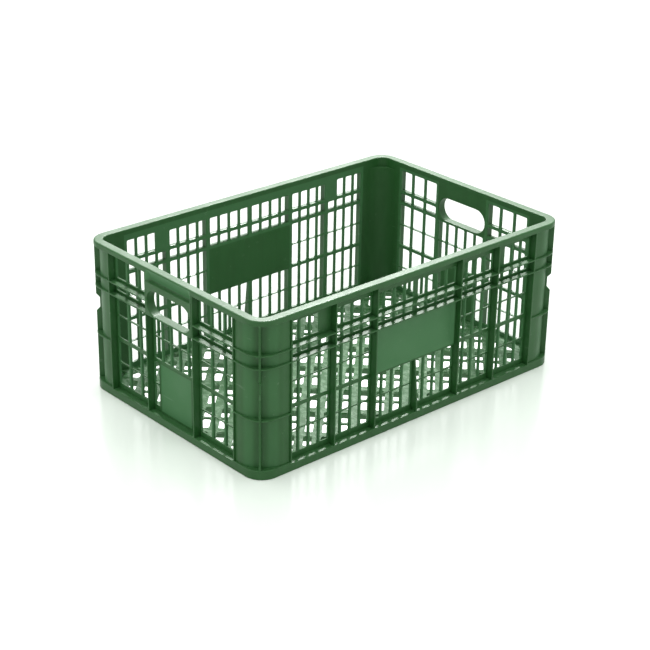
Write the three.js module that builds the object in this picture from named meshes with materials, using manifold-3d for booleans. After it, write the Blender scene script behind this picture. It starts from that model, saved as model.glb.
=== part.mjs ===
// Vented produce crate, one rigid moulding shown as its named regions.
// Millimetres, +Z up. The origin is the centre of the footprint on the ground:
// X runs along the long walls, Y along the end walls.
import * as THREE from "three";
import { mergeGeometries, mergeVertices } from "three/addons/utils/BufferGeometryUtils.js";
import Module from "manifold-3d";

const wasm = await Module();
wasm.setup();

// Overall size
const LENGTH = 600;
const WIDTH = 400;
const HEIGHT = 240;
const CORNER_RADIUS = 30;

// Wall section, as depths inwards from the outer envelope
const WALL_DEPTH = 14.5;
const LATTICE_THICKNESS = 3.5;
const LATTICE_DEPTH = WALL_DEPTH - LATTICE_THICKNESS;
const RIB_WIDTH = 3;
const RIB_HALF = RIB_WIDTH / 2;

// Rim, a channel that opens downwards
const RIM_HEIGHT = 8;
const RIM_SKIN = 3;
const RIM_TOP_THICKNESS = 3.5;
const RIM_OUTER_ROUND = 2.5;
const RIM_INNER_ROUND = 1.5;
const RIM_ROUND_STEPS = 3;
const RIM_BOTTOM = HEIGHT - RIM_HEIGHT;

// Foot rail round the base, and the floor that lies level with its top
const FOOT_HEIGHT = 12;
const FOOT_SKIN = 3;
const FOOT_LEDGE_THICKNESS = 2.5;
const FLOOR_THICKNESS = 3;
const FLOOR_BOTTOM = FOOT_HEIGHT - FLOOR_THICKNESS;

// Two horizontal flanges run all round under the rim
const FLANGE_THICKNESS = 2;
const UPPER_FLANGE_DROP = 51;
const FLANGE_PITCH = 19.5;
const UPPER_FLANGE_TOP = HEIGHT - UPPER_FLANGE_DROP;
const LOWER_FLANGE_TOP = UPPER_FLANGE_TOP - FLANGE_PITCH;
const LOWER_FLANGE_BOTTOM = LOWER_FLANGE_TOP - FLANGE_THICKNESS;
const FLANGE_TOPS = [LOWER_FLANGE_TOP, UPPER_FLANGE_TOP];

// Vent rows, as [bottom, top]: four equal tall rows between the foot and the lower
// flange, a row of slits between the flanges, and a top row under the rim
const BOTTOM_LAND = 8.5;
const THIN_BAR = 2;
const WAIST_BAR = 6;
const TALL_ROWS = 4;
const TALL_STACK = LOWER_FLANGE_BOTTOM - FOOT_HEIGHT - BOTTOM_LAND - 2 * THIN_BAR - WAIST_BAR;
const TALL_ROW = TALL_STACK / TALL_ROWS;
const rowFrom = (bottom) => [bottom, bottom + TALL_ROW];
const BOTTOM_ROW = rowFrom(FOOT_HEIGHT + BOTTOM_LAND);
const LOWER_ROW = rowFrom(BOTTOM_ROW[1] + THIN_BAR);
const MIDDLE_ROW = rowFrom(LOWER_ROW[1] + WAIST_BAR);
const UPPER_ROW = rowFrom(MIDDLE_ROW[1] + THIN_BAR);
const FULL_ROWS = [UPPER_ROW, MIDDLE_ROW, LOWER_ROW, BOTTOM_ROW];
const SLIT_SILL = 3.5;
const SLIT_ROW = [LOWER_FLANGE_TOP + SLIT_SILL, UPPER_FLANGE_TOP - FLANGE_THICKNESS];
const TOP_SILL = 4;
const INNER_TOP_LAND = 13;
const OUTER_TOP_LAND = 10;
const END_TOP_LAND = 5;
const topRow = (land) => [UPPER_FLANGE_TOP + TOP_SILL, RIM_BOTTOM - land];

// Long wall, measured along it from its centre
const LONG_POST_REACH = 60;
const OUTER_BAY = 78.75;
const INNER_BAY = 77.5;
const LONG_POST_EDGE = LENGTH / 2 - LONG_POST_REACH;
const OUTER_RIB = LONG_POST_EDGE - OUTER_BAY;
const INNER_RIB = OUTER_RIB - INNER_BAY;
const LONG_COLUMNS = 4;
const LONG_BAR = 2.5;
const LAND = 3;

// End wall, measured along it from its centre
const END_POST_REACH = 57;
const END_RIB = 54.25;
const END_POST_EDGE = WIDTH / 2 - END_POST_REACH;
const END_COLUMNS = 3;
const END_BAR = 3;
const GRILLE_COLUMNS = 5;
const GRILLE_BAR = 2.5;
const GRILLE_TOP_LAND = 1.5;
const CHEEK_LAND = 1.5;

// Bare label fields: a thin plate whose frame slopes down to it
const LABEL_FACE_DEPTH = LATTICE_DEPTH + 1;
const LABEL_EDGE = 3;
const LONG_LABEL_SILL = 2;
const LONG_LABEL_BOTTOM = LOWER_ROW[1] + LONG_LABEL_SILL;
const LONG_LABEL_HALF = INNER_RIB - RIB_HALF;
const LONG_LABEL_FRAME_DEPTH = LATTICE_DEPTH - 3;
const LONG_LABEL_BEVEL = 8.5;
const END_LABEL_TOP = LOWER_ROW[1] + WAIST_BAR / 2;
const END_LABEL_HALF = 38.5;
const END_LABEL_BEVEL = 1;

// Gusset under the long wall's label
const GUSSET_TOP_DEPTH = LONG_LABEL_FRAME_DEPTH - 1;
const GUSSET_FOOT_TOP = 30;

// Hand hole, whose sill is level with the lower flange, and the scoop over it
const GRIP_HALF = END_RIB - RIB_HALF;
const HANDLE_HEIGHT = 39.5;
const HANDLE_END_WALL = 1.75;
const HANDLE_TOP = LOWER_FLANGE_TOP + HANDLE_HEIGHT;
const GRIP_LIP = 10;
const SCOOP_DEPTH = 8;
const SCOOP_STEPS = 5;
const HANDLE_END_STEPS = 10;

// Corner posts
const POST_RECESS = 2.5;
const POST_OUTER_RADIUS = 42;
const POST_INNER_RADIUS = 32;
const POST_LEDGE_DROP = 8;
const POST_SKIN = 3;
const POST_FOOT_HEIGHT = FOOT_HEIGHT + 2;
const POST_FLANGE_TOP = LOWER_ROW[1] + 0.5;
const FIN_WIDTH = 3;
const NOTCH_DEPTH = 5.5;
const NOTCH_DROP = 18.5;
const NOTCH_HEIGHT = 28;
const NOTCH_SLOPE = 6;
const NOTCH_TOP = LOWER_FLANGE_TOP - NOTCH_DROP;
const NOTCH_BOTTOM = NOTCH_TOP - NOTCH_HEIGHT;
const CORNER_STEPS = 6;

// Pieces fused into one body overlap by this much, and a cutter runs past its plate
const FUSE_OVERLAP = 0.5;
const PUNCH_OVERRUN = 1;

// Floor grid, laid at 45 degrees: wide webs one way, thin bars the other
const FLOOR_RIB_PITCH = 74.8;
const FLOOR_RIB_WIDTH = 3;
const WEBS_PER_RIB = 3;
const BARS_PER_RIB = 2;
const WEB_WIDTH = 9;
const BAR_WIDTH = 3;
const FLOOR_BORDER = 5;
const FLOOR_RIB_BORDER = 3;
const SMALLEST_HOLE_AREA = 30;

const MOULDING = { color: 0x3b6641, roughness: 0.42, metalness: 0 };

const crate = new THREE.Group();

function addPart(parent, name, geometry) {
  const mesh = new THREE.Mesh(geometry, new THREE.MeshStandardMaterial(MOULDING));
  mesh.name = name;
  parent.add(mesh);
}

// Solid modelling helpers

function toSolid(geometry) {
  const bare = geometry.clone();
  bare.deleteAttribute("normal");
  bare.deleteAttribute("uv");
  const merged = mergeVertices(bare, 1e-4);
  return new wasm.Manifold(
    new wasm.Mesh({
      numProp: 3,
      vertProperties: merged.attributes.position.array,
      triVerts: new Uint32Array(merged.index.array),
    }),
  );
}

function toGeometry(solid) {
  const mesh = solid.getMesh();
  const geometry = new THREE.BufferGeometry();
  geometry.setAttribute("position", new THREE.BufferAttribute(mesh.vertProperties, 3));
  geometry.setIndex(new THREE.BufferAttribute(mesh.triVerts, 1));
  geometry.computeVertexNormals();
  return geometry;
}

function fuse(solids) {
  return solids.reduce((whole, piece) => whole.add(piece));
}

// A box between two corners, in the frame of the group that holds it.
function block(low, high) {
  const size = high.map((value, axis) => value - low[axis]);
  const geometry = new THREE.BoxGeometry(...size);
  geometry.translate(...low.map((value, axis) => (value + high[axis]) / 2));
  return geometry;
}

function rectangle(left, right, bottom, top) {
  return [
    [left, bottom],
    [right, bottom],
    [right, top],
    [left, top],
  ];
}

// A prism on an outline of [a, b] points, from 0 up to its depth.
function prism(outline, depth) {
  const shape = new THREE.Shape(outline.map(([a, b]) => new THREE.Vector2(a, b)));
  return new THREE.ExtrudeGeometry(shape, { depth, bevelEnabled: false });
}

// An upright slab in a wall's frame, on an outline of [along, height] points.
function wallSlab(outline, outerDepth, innerDepth) {
  const geometry = prism(outline, innerDepth - outerDepth);
  geometry.rotateX(Math.PI / 2);
  geometry.translate(0, innerDepth, 0);
  return geometry;
}

// A level slab on an outline of [x, y] points.
function levelSlab(outline, bottom, top) {
  const geometry = prism(outline, top - bottom);
  geometry.translate(0, 0, bottom);
  return geometry;
}

// A slab of either kind with an opening through it for each of the hole outlines.
function perforated(slab, outline, holes, low, high) {
  const punches = holes.map((hole) => slab(hole, low - PUNCH_OVERRUN, high + PUNCH_OVERRUN));
  return toSolid(slab(outline, low, high)).subtract(toSolid(mergeGeometries(punches)));
}

// A bar along a wall, on a section of [depth, height] points.
function wallBar(section, from, to) {
  const geometry = prism(section, to - from);
  geometry.rotateX(Math.PI / 2);
  geometry.rotateZ(Math.PI / 2);
  geometry.translate(from, 0, 0);
  return geometry;
}

// Each wall has its own frame: X along the wall, Y inwards from the envelope, Z up.
function wallFrame(name, turn, x, y) {
  const frame = new THREE.Group();
  frame.name = name;
  frame.rotation.z = turn;
  frame.position.set(x, y, 0);
  crate.add(frame);
  return frame;
}

const longWalls = {
  front: wallFrame("front_wall", 0, 0, -WIDTH / 2),
  back: wallFrame("back_wall", Math.PI, 0, WIDTH / 2),
};
const endWalls = {
  left: wallFrame("left_wall", -Math.PI / 2, -LENGTH / 2, 0),
  right: wallFrame("right_wall", Math.PI / 2, LENGTH / 2, 0),
};

// Vent lattices

// Left and right edges of equal columns that fill a bay between two lands.
function columnsOf(left, right, count, bar, leftLand, rightLand) {
  const clear = right - left - leftLand - rightLand;
  const width = (clear - (count - 1) * bar) / count;
  return Array.from({ length: count }, (_, i) => {
    const start = left + leftLand + i * (width + bar);
    return [start, start + width];
  });
}

function ventsOf(columns, rows) {
  return columns.flatMap(([left, right]) =>
    rows.map(([bottom, top]) => rectangle(left, right, bottom, top)),
  );
}

// The flange strips in front of a lattice, reaching the envelope.
function flangesOf(left, right, tops) {
  return tops.map((top) =>
    block([left, 0, top - FLANGE_THICKNESS], [right, LATTICE_DEPTH + FUSE_OVERLAP, top]),
  );
}

// A bay of lattice with its two flanges. The flanges stop at the ribs that stand
// in front of the lattice; the lattice itself runs on behind them.
function latticeBay(left, right, flangeLeft, flangeRight, holes) {
  const outline = rectangle(left, right, FOOT_HEIGHT, RIM_BOTTOM);
  const lattice = perforated(wallSlab, outline, holes, LATTICE_DEPTH, WALL_DEPTH);
  const flanges = flangesOf(flangeLeft, flangeRight, FLANGE_TOPS);
  return toGeometry(fuse([lattice, ...flanges.map(toSolid)]));
}

// A bay that is drawn for the right half of its wall: side -1 gives its mirror image.
function sidedBay(side, inner, outer, flangeInner, flangeOuter, holes) {
  const turned = holes.map((hole) => hole.map(([along, z]) => [side * along, z]));
  const [left, right] = side > 0 ? [inner, outer] : [-outer, -inner];
  const [from, to] = side > 0 ? [flangeInner, flangeOuter] : [-flangeOuter, -flangeInner];
  return latticeBay(left, right, from, to, turned);
}

// Long walls

// The bay next to a corner post. Its top vent beside the rib is closed.
function outerBay(side) {
  const columns = columnsOf(OUTER_RIB, LONG_POST_EDGE, LONG_COLUMNS, LONG_BAR, LAND, LAND);
  const holes = [
    ...ventsOf(columns.slice(1), [topRow(OUTER_TOP_LAND)]),
    ...ventsOf(columns, [SLIT_ROW, ...FULL_ROWS]),
  ];
  return sidedBay(side, OUTER_RIB, LONG_POST_EDGE, OUTER_RIB + RIB_HALF, LONG_POST_EDGE, holes);
}

function innerBay(side) {
  const columns = columnsOf(INNER_RIB, OUTER_RIB, LONG_COLUMNS, LONG_BAR, LAND, LAND);
  const holes = ventsOf(columns, [topRow(INNER_TOP_LAND), SLIT_ROW, ...FULL_ROWS]);
  return sidedBay(side, INNER_RIB, OUTER_RIB, INNER_RIB + RIB_HALF, OUTER_RIB - RIB_HALF, holes);
}

// The bay between the inner ribs, open where the label field goes.
function centreBay() {
  const half = columnsOf(0, INNER_RIB, LONG_COLUMNS, LONG_BAR, LAND, LAND);
  const columns = [...half, ...half.map(([left, right]) => [-right, -left])];
  const holes = [
    ...ventsOf(columns, [topRow(INNER_TOP_LAND), SLIT_ROW, LOWER_ROW, BOTTOM_ROW]),
    rectangle(-LONG_LABEL_HALF, LONG_LABEL_HALF, LONG_LABEL_BOTTOM, LOWER_FLANGE_BOTTOM),
  ];
  return latticeBay(-INNER_RIB, INNER_RIB, -LONG_LABEL_HALF, LONG_LABEL_HALF, holes);
}

// A solid with eight corners: four of the outer face, then four of the inner face,
// each ring running left to right along the bottom and back along the top.
function hexahedron(points) {
  const quads = [
    [0, 1, 2, 3],
    [7, 6, 5, 4],
    [0, 4, 5, 1],
    [1, 5, 6, 2],
    [2, 6, 7, 3],
    [3, 7, 4, 0],
  ];
  const geometry = new THREE.BufferGeometry();
  geometry.setAttribute("position", new THREE.Float32BufferAttribute(points.flat(), 3));
  geometry.setIndex(quads.flatMap(([a, b, c, d]) => [a, b, c, a, c, d]));
  return geometry;
}

// A bare label field in a frame that slopes down to it at the sides and the bottom.
// Its top edge is a plain rail, or none where a flange lies over it.
function labelField(half, bottom, top, topRail, frameDepth, bevel) {
  const body = wallSlab(rectangle(-half, half, bottom, top), frameDepth, WALL_DEPTH);
  const fieldHalf = half - LABEL_EDGE - bevel;
  const fieldBottom = bottom + LABEL_EDGE + bevel;
  const pocketTop = topRail > 0 ? top - topRail : top + PUNCH_OVERRUN;
  // The cutter runs on past the frame's face at the same slope.
  const drop = LABEL_FACE_DEPTH - frameDepth;
  const spread = (bevel * (drop + FUSE_OVERLAP)) / drop;
  const ring = (ringHalf, ringBottom, depth) =>
    rectangle(-ringHalf, ringHalf, ringBottom, pocketTop).map(([x, z]) => [x, depth, z]);
  const pocket = hexahedron([
    ...ring(fieldHalf + spread, fieldBottom - spread, frameDepth - FUSE_OVERLAP),
    ...ring(fieldHalf, fieldBottom, LABEL_FACE_DEPTH),
  ]);
  return toGeometry(toSolid(body).subtract(toSolid(pocket)));
}

function longLabelField() {
  return labelField(
    LONG_LABEL_HALF, LONG_LABEL_BOTTOM, LOWER_FLANGE_BOTTOM, 0, LONG_LABEL_FRAME_DEPTH, LONG_LABEL_BEVEL,
  );
}

function uprightRib(along) {
  return block([along - RIB_HALF, 0, FOOT_HEIGHT], [along + RIB_HALF, LATTICE_DEPTH, RIM_BOTTOM]);
}

// The gusset under the label deepens towards the foot.
function labelGusset() {
  const section = [
    [GUSSET_TOP_DEPTH, LONG_LABEL_BOTTOM],
    [0, GUSSET_FOOT_TOP],
    [0, FOOT_HEIGHT],
    [LATTICE_DEPTH, FOOT_HEIGHT],
    [LATTICE_DEPTH, LONG_LABEL_BOTTOM],
  ];
  return wallBar(section, -RIB_HALF, RIB_HALF);
}

for (const [side, wall] of Object.entries(longWalls)) {
  addPart(wall, `${side}_outer_bay_left`, outerBay(-1));
  addPart(wall, `${side}_inner_bay_left`, innerBay(-1));
  addPart(wall, `${side}_centre_bay`, centreBay());
  addPart(wall, `${side}_inner_bay_right`, innerBay(1));
  addPart(wall, `${side}_outer_bay_right`, outerBay(1));
  [-OUTER_RIB, -INNER_RIB, INNER_RIB, OUTER_RIB].forEach((along, i) => {
    addPart(wall, `${side}_upright_rib_${i + 1}`, uprightRib(along));
  });
  addPart(wall, `${side}_label_field`, longLabelField());
  addPart(wall, `${side}_label_gusset`, labelGusset());
}

// End walls

function endSideBay(side) {
  const columns = columnsOf(END_RIB, END_POST_EDGE, END_COLUMNS, END_BAR, LAND, LAND);
  const holes = ventsOf(columns, [topRow(END_TOP_LAND), SLIT_ROW, ...FULL_ROWS]);
  return sidedBay(side, GRIP_HALF, END_POST_EDGE, END_RIB + RIB_HALF, END_POST_EDGE, holes);
}

// Points along an arc, the first and the last one included.
function arc(centreX, centreY, radius, from, to, steps) {
  return Array.from({ length: steps + 1 }, (_, i) => {
    const angle = from + ((to - from) * i) / steps;
    return [centreX + radius * Math.cos(angle), centreY + radius * Math.sin(angle)];
  });
}

// The grip: a full-depth block with the hand hole through it and a scoop above.
function handleSurround() {
  const scoopBottom = HANDLE_TOP + GRIP_LIP;
  const scoop = new THREE.QuadraticBezierCurve(
    new THREE.Vector2(SCOOP_DEPTH, RIM_BOTTOM),
    new THREE.Vector2(SCOOP_DEPTH, scoopBottom),
    new THREE.Vector2(0, scoopBottom),
  );
  const section = [
    [0, LOWER_FLANGE_BOTTOM],
    [WALL_DEPTH, LOWER_FLANGE_BOTTOM],
    [WALL_DEPTH, RIM_BOTTOM],
    ...scoop.getPoints(SCOOP_STEPS).map((point) => [point.x, point.y]),
  ];
  const radius = HANDLE_HEIGHT / 2;
  const middle = LOWER_FLANGE_TOP + radius;
  const reach = GRIP_HALF - HANDLE_END_WALL - radius;
  const outline = [
    ...arc(reach, middle, radius, -Math.PI / 2, Math.PI / 2, HANDLE_END_STEPS),
    ...arc(-reach, middle, radius, Math.PI / 2, Math.PI * 1.5, HANDLE_END_STEPS),
  ];
  const cutter = wallSlab(outline, -PUNCH_OVERRUN, WALL_DEPTH + PUNCH_OVERRUN);
  const grip = wallBar(section, -GRIP_HALF, GRIP_HALF);
  return toGeometry(toSolid(grip).subtract(toSolid(cutter)));
}

// Upright vents under the grip.
function handleGrille() {
  const columns = columnsOf(-GRIP_HALF, GRIP_HALF, GRILLE_COLUMNS, GRILLE_BAR, LAND, LAND);
  const upperRow = [UPPER_ROW[0], LOWER_FLANGE_BOTTOM - GRILLE_TOP_LAND];
  const outline = rectangle(-GRIP_HALF, GRIP_HALF, END_LABEL_TOP, LOWER_FLANGE_BOTTOM);
  const vents = ventsOf(columns, [upperRow, MIDDLE_ROW]);
  return toGeometry(perforated(wallSlab, outline, vents, LATTICE_DEPTH, WALL_DEPTH));
}

// The strip with two narrow vents between the end label and a rib.
function slottedCheek(side) {
  const column = [END_LABEL_HALF + CHEEK_LAND, GRIP_HALF - CHEEK_LAND];
  const turned = (points) => points.map(([along, z]) => [side * along, z]);
  const outline = rectangle(END_LABEL_HALF, GRIP_HALF, FOOT_HEIGHT, END_LABEL_TOP);
  const slots = ventsOf([column], [LOWER_ROW, BOTTOM_ROW]);
  return toGeometry(
    perforated(wallSlab, turned(outline), slots.map(turned), LATTICE_DEPTH, WALL_DEPTH),
  );
}

function endLabelField() {
  return labelField(
    END_LABEL_HALF, FOOT_HEIGHT, END_LABEL_TOP, LABEL_EDGE, LATTICE_DEPTH, END_LABEL_BEVEL,
  );
}

for (const [side, wall] of Object.entries(endWalls)) {
  addPart(wall, `${side}_side_bay_left`, endSideBay(-1));
  addPart(wall, `${side}_side_bay_right`, endSideBay(1));
  addPart(wall, `${side}_upright_rib_1`, uprightRib(-END_RIB));
  addPart(wall, `${side}_upright_rib_2`, uprightRib(END_RIB));
  addPart(wall, `${side}_handle_surround`, handleSurround());
  addPart(wall, `${side}_handle_grille`, handleGrille());
  addPart(wall, `${side}_slotted_cheek_left`, slottedCheek(-1));
  addPart(wall, `${side}_slotted_cheek_right`, slottedCheek(1));
  addPart(wall, `${side}_label_field`, endLabelField());
}

// Rim and foot rails, which run along the walls between the posts

// The rim's section as [depth, height]: rounded on top, hollow underneath.
function rimSection() {
  const under = HEIGHT - RIM_TOP_THICKNESS;
  return [
    [0, RIM_BOTTOM],
    [RIM_SKIN, RIM_BOTTOM],
    [RIM_SKIN, under],
    [LATTICE_DEPTH, under],
    [LATTICE_DEPTH, RIM_BOTTOM],
    [WALL_DEPTH, RIM_BOTTOM],
    ...arc(
      WALL_DEPTH - RIM_INNER_ROUND, HEIGHT - RIM_INNER_ROUND, RIM_INNER_ROUND,
      0, Math.PI / 2, RIM_ROUND_STEPS,
    ),
    ...arc(
      RIM_OUTER_ROUND, HEIGHT - RIM_OUTER_ROUND, RIM_OUTER_ROUND,
      Math.PI / 2, Math.PI, RIM_ROUND_STEPS,
    ),
  ];
}

// The foot's section: a skirt, a ledge and an inner web that carries the floor.
function footSection() {
  const under = FOOT_HEIGHT - FOOT_LEDGE_THICKNESS;
  return [
    [0, 0],
    [FOOT_SKIN, 0],
    [FOOT_SKIN, under],
    [WALL_DEPTH - FOOT_SKIN, under],
    [WALL_DEPTH - FOOT_SKIN, 0],
    [WALL_DEPTH, 0],
    [WALL_DEPTH, FOOT_HEIGHT],
    [0, FOOT_HEIGHT],
  ];
}

for (const [side, wall] of Object.entries({ ...longWalls, ...endWalls })) {
  const reach = side in longWalls ? LONG_POST_EDGE : END_POST_EDGE;
  addPart(wall, `${side}_rim_rail`, wallBar(rimSection(), -reach, reach));
  addPart(wall, `${side}_foot_rail`, wallBar(footSection(), -reach, reach));
}

// Corner posts, drawn for the corner at +X +Y and turned to the others by their signs

// A plan curve round the corner at a depth inside the envelope, from the long wall's
// post edge to the end wall's.
function cornerCurve(depth, radius) {
  const x = LENGTH / 2 - depth;
  const y = WIDTH / 2 - depth;
  return [
    [LONG_POST_EDGE, y],
    ...arc(x - radius, y - radius, radius, Math.PI / 2, 0, CORNER_STEPS),
    [x, END_POST_EDGE],
  ];
}

const envelopeCurve = (depth) => cornerCurve(depth, CORNER_RADIUS - depth);
const postOuterCurve = (inset) => cornerCurve(POST_RECESS + inset, POST_OUTER_RADIUS - inset);
const postInnerCurve = (inset) => cornerCurve(WALL_DEPTH - inset, POST_INNER_RADIUS + inset);

// A level slab between two plan curves.
function cornerBand([signX, signY], outerCurve, innerCurve, bottom, top) {
  const outline = [...outerCurve, ...innerCurve.toReversed()];
  return levelSlab(outline.map(([x, y]) => [signX * x, signY * y]), bottom, top);
}

// A section of [depth, height] points carried round the corner of the envelope.
function cornerSweep([signX, signY], section) {
  const curves = section.map(([depth, z]) =>
    envelopeCurve(depth).map(([x, y]) => [signX * x, signY * y, z]),
  );
  const stations = curves[0].length;
  const positions = curves.flat(2);
  const at = (row, station) => (row % section.length) * stations + station;
  const faces = [];
  for (let row = 0; row < section.length; row += 1) {
    for (let i = 0; i + 1 < stations; i += 1) {
      faces.push([at(row, i), at(row, i + 1), at(row + 1, i + 1)]);
      faces.push([at(row, i), at(row + 1, i + 1), at(row + 1, i)]);
    }
  }
  const cap = THREE.ShapeUtils.triangulateShape(section.map(([d, z]) => new THREE.Vector2(d, z)), []);
  cap.forEach(([a, b, c]) => {
    faces.push([at(a, 0), at(b, 0), at(c, 0)]);
    faces.push([at(a, stations - 1), at(c, stations - 1), at(b, stations - 1)]);
  });
  const mirrored = signX * signY < 0;
  const geometry = new THREE.BufferGeometry();
  geometry.setAttribute("position", new THREE.Float32BufferAttribute(positions, 3));
  geometry.setIndex(faces.flatMap(([a, b, c]) => (mirrored ? [a, c, b] : [a, b, c])));
  return geometry;
}

// The full-depth fins that close a post's two sides, standing across the walls.
function edgeFins([signX, signY]) {
  const fins = [
    rectangle(LONG_POST_EDGE, LONG_POST_EDGE + FIN_WIDTH, WIDTH / 2 - WALL_DEPTH, WIDTH / 2),
    rectangle(LENGTH / 2 - WALL_DEPTH, LENGTH / 2, END_POST_EDGE, END_POST_EDGE + FIN_WIDTH),
  ];
  return fins.map((fin) =>
    levelSlab(fin.map(([x, y]) => [signX * x, signY * y]), FOOT_HEIGHT, RIM_BOTTOM + FUSE_OVERLAP),
  );
}

// The fin on the corner's diagonal, with its notch. It starts inside the post's skin.
function cornerFin([signX, signY]) {
  const skinRadius = Math.SQRT2 * (CORNER_RADIUS - POST_RECESS - POST_OUTER_RADIUS) + POST_OUTER_RADIUS;
  const start = skinRadius - POST_SKIN / 2;
  const bottom = POST_FOOT_HEIGHT - FUSE_OVERLAP;
  const top = RIM_BOTTOM + FUSE_OVERLAP;
  const outline = [
    [start, bottom],
    [CORNER_RADIUS, bottom],
    [CORNER_RADIUS, NOTCH_BOTTOM],
    [CORNER_RADIUS - NOTCH_DEPTH, NOTCH_BOTTOM + NOTCH_SLOPE],
    [CORNER_RADIUS - NOTCH_DEPTH, NOTCH_TOP - NOTCH_SLOPE],
    [CORNER_RADIUS, NOTCH_TOP],
    [CORNER_RADIUS, top],
    [start, top],
  ];
  const geometry = wallSlab(outline, -FIN_WIDTH / 2, FIN_WIDTH / 2);
  geometry.rotateZ(Math.atan2(signY, signX));
  geometry.translate(signX * (LENGTH / 2 - CORNER_RADIUS), signY * (WIDTH / 2 - CORNER_RADIUS), 0);
  return geometry;
}

function cornerPost(signs) {
  const skirtCurve = envelopeCurve(LATTICE_DEPTH);
  const wallCurve = envelopeCurve(WALL_DEPTH);
  const intoSkin = postOuterCurve(FUSE_OVERLAP);
  const innerTop = RIM_BOTTOM - POST_LEDGE_DROP;
  const ledgeBottom = innerTop - POST_SKIN;
  const joined = RIM_BOTTOM + FUSE_OVERLAP;
  const shelf = (top, thickness) =>
    cornerBand(signs, envelopeCurve(0), intoSkin, top - thickness, top);
  return toGeometry(
    fuse([
      cornerSweep(signs, rimSection()),
      cornerBand(signs, postOuterCurve(0), postOuterCurve(POST_SKIN), FOOT_HEIGHT, joined),
      cornerBand(signs, postInnerCurve(POST_SKIN), postInnerCurve(0), 0, innerTop),
      cornerBand(signs, skirtCurve, postInnerCurve(0), ledgeBottom, innerTop),
      cornerBand(signs, skirtCurve, wallCurve, ledgeBottom, joined),
      cornerBand(signs, envelopeCurve(0), envelopeCurve(FOOT_SKIN), 0, POST_FOOT_HEIGHT),
      shelf(POST_FOOT_HEIGHT, FOOT_LEDGE_THICKNESS),
      ...[POST_FLANGE_TOP, ...FLANGE_TOPS].map((top) => shelf(top, FLANGE_THICKNESS)),
      ...edgeFins(signs),
      cornerFin(signs),
    ].map(toSolid)),
  );
}

for (const [ends, signX] of [["left", -1], ["right", 1]]) {
  for (const [longs, signY] of [["front", -1], ["back", 1]]) {
    addPart(crate, `${longs}_${ends}_corner_post`, cornerPost([signX, signY]));
  }
}

// Floor, drawn on axes at 45 degrees: u towards +X +Y, v towards -X +Y

// The part of a polygon that lies to the left of the line from a to b.
function clipToLeft(polygon, a, b) {
  const sideOf = ([x, y]) => (b[0] - a[0]) * (y - a[1]) - (b[1] - a[1]) * (x - a[0]);
  return polygon.flatMap((point, i) => {
    const next = polygon[(i + 1) % polygon.length];
    const [here, there] = [sideOf(point), sideOf(next)];
    const kept = here >= 0 ? [point] : [];
    if (here * there < 0) {
      const share = here / (here - there);
      kept.push(point.map((value, axis) => value + share * (next[axis] - value)));
    }
    return kept;
  });
}

function areaOf(polygon) {
  return THREE.ShapeUtils.area(polygon.map(([x, y]) => new THREE.Vector2(x, y)));
}

// The floor's outline at a margin inside the walls, anticlockwise.
function floorOutline(margin) {
  const curve = cornerCurve(WALL_DEPTH + margin, POST_INNER_RADIUS - margin).slice(1, -1);
  const quarter = curve.toReversed();
  return [
    ...quarter,
    ...quarter.toReversed().map(([x, y]) => [-x, y]),
    ...quarter.map(([x, y]) => [-x, -y]),
    ...quarter.toReversed().map(([x, y]) => [x, -y]),
  ];
}

// The openings between two sets of parallel bars, clipped to a border. Each set is
// its pitch and its bar width, across u and across v.
function gridHoles(border, pitchU, barU, pitchV, barV) {
  const reach = Math.hypot(LENGTH, WIDTH) / 2;
  const holes = [];
  for (let i = -Math.ceil(reach / pitchU); i < reach / pitchU; i += 1) {
    for (let j = -Math.ceil(reach / pitchV); j < reach / pitchV; j += 1) {
      const [u0, u1] = [i * pitchU + barU / 2, (i + 1) * pitchU - barU / 2];
      const [v0, v1] = [j * pitchV + barV / 2, (j + 1) * pitchV - barV / 2];
      const cell = rectangle(u0, u1, v0, v1).map(([u, v]) =>
        [u - v, u + v].map((value) => value * Math.SQRT1_2),
      );
      const hole = border.reduce(
        (polygon, point, k) => clipToLeft(polygon, point, border[(k + 1) % border.length]),
        cell,
      );
      if (hole.length > 2 && areaOf(hole) > SMALLEST_HOLE_AREA) holes.push(hole);
    }
  }
  return holes;
}

// Wide webs run along u and thin crossbars along v.
function floorGrid() {
  const holes = gridHoles(
    floorOutline(FLOOR_BORDER),
    FLOOR_RIB_PITCH / BARS_PER_RIB, BAR_WIDTH,
    FLOOR_RIB_PITCH / WEBS_PER_RIB, WEB_WIDTH,
  );
  return toGeometry(perforated(levelSlab, floorOutline(0), holes, FLOOR_BOTTOM, FOOT_HEIGHT));
}

// Deep ribs run under every second crossbar and every third web.
function floorRibs() {
  const holes = gridHoles(
    floorOutline(FLOOR_RIB_BORDER),
    FLOOR_RIB_PITCH, FLOOR_RIB_WIDTH,
    FLOOR_RIB_PITCH, FLOOR_RIB_WIDTH,
  );
  return toGeometry(perforated(levelSlab, floorOutline(0), holes, 0, FLOOR_BOTTOM));
}

addPart(crate, "floor_grid", floorGrid());
addPart(crate, "floor_ribs", floorRibs());

export default crate;
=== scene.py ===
# %% [markdown]
# A vented produce crate
#
# The real crate is a single piece of green polyethylene, shot into a steel mould. Blender has
# no such press, so this lesson builds it the way the mould was cut: flat pierced plates, ribs
# that stand on them, and sections that run round the corners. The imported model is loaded
# first, as a frame that never moves, and the crate's main sizes are read from it.

# %% Load the frame
import math

import bmesh
import bpy
from mathutils import Matrix, Vector
from mathutils.geometry import delaunay_2d_cdt


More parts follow.
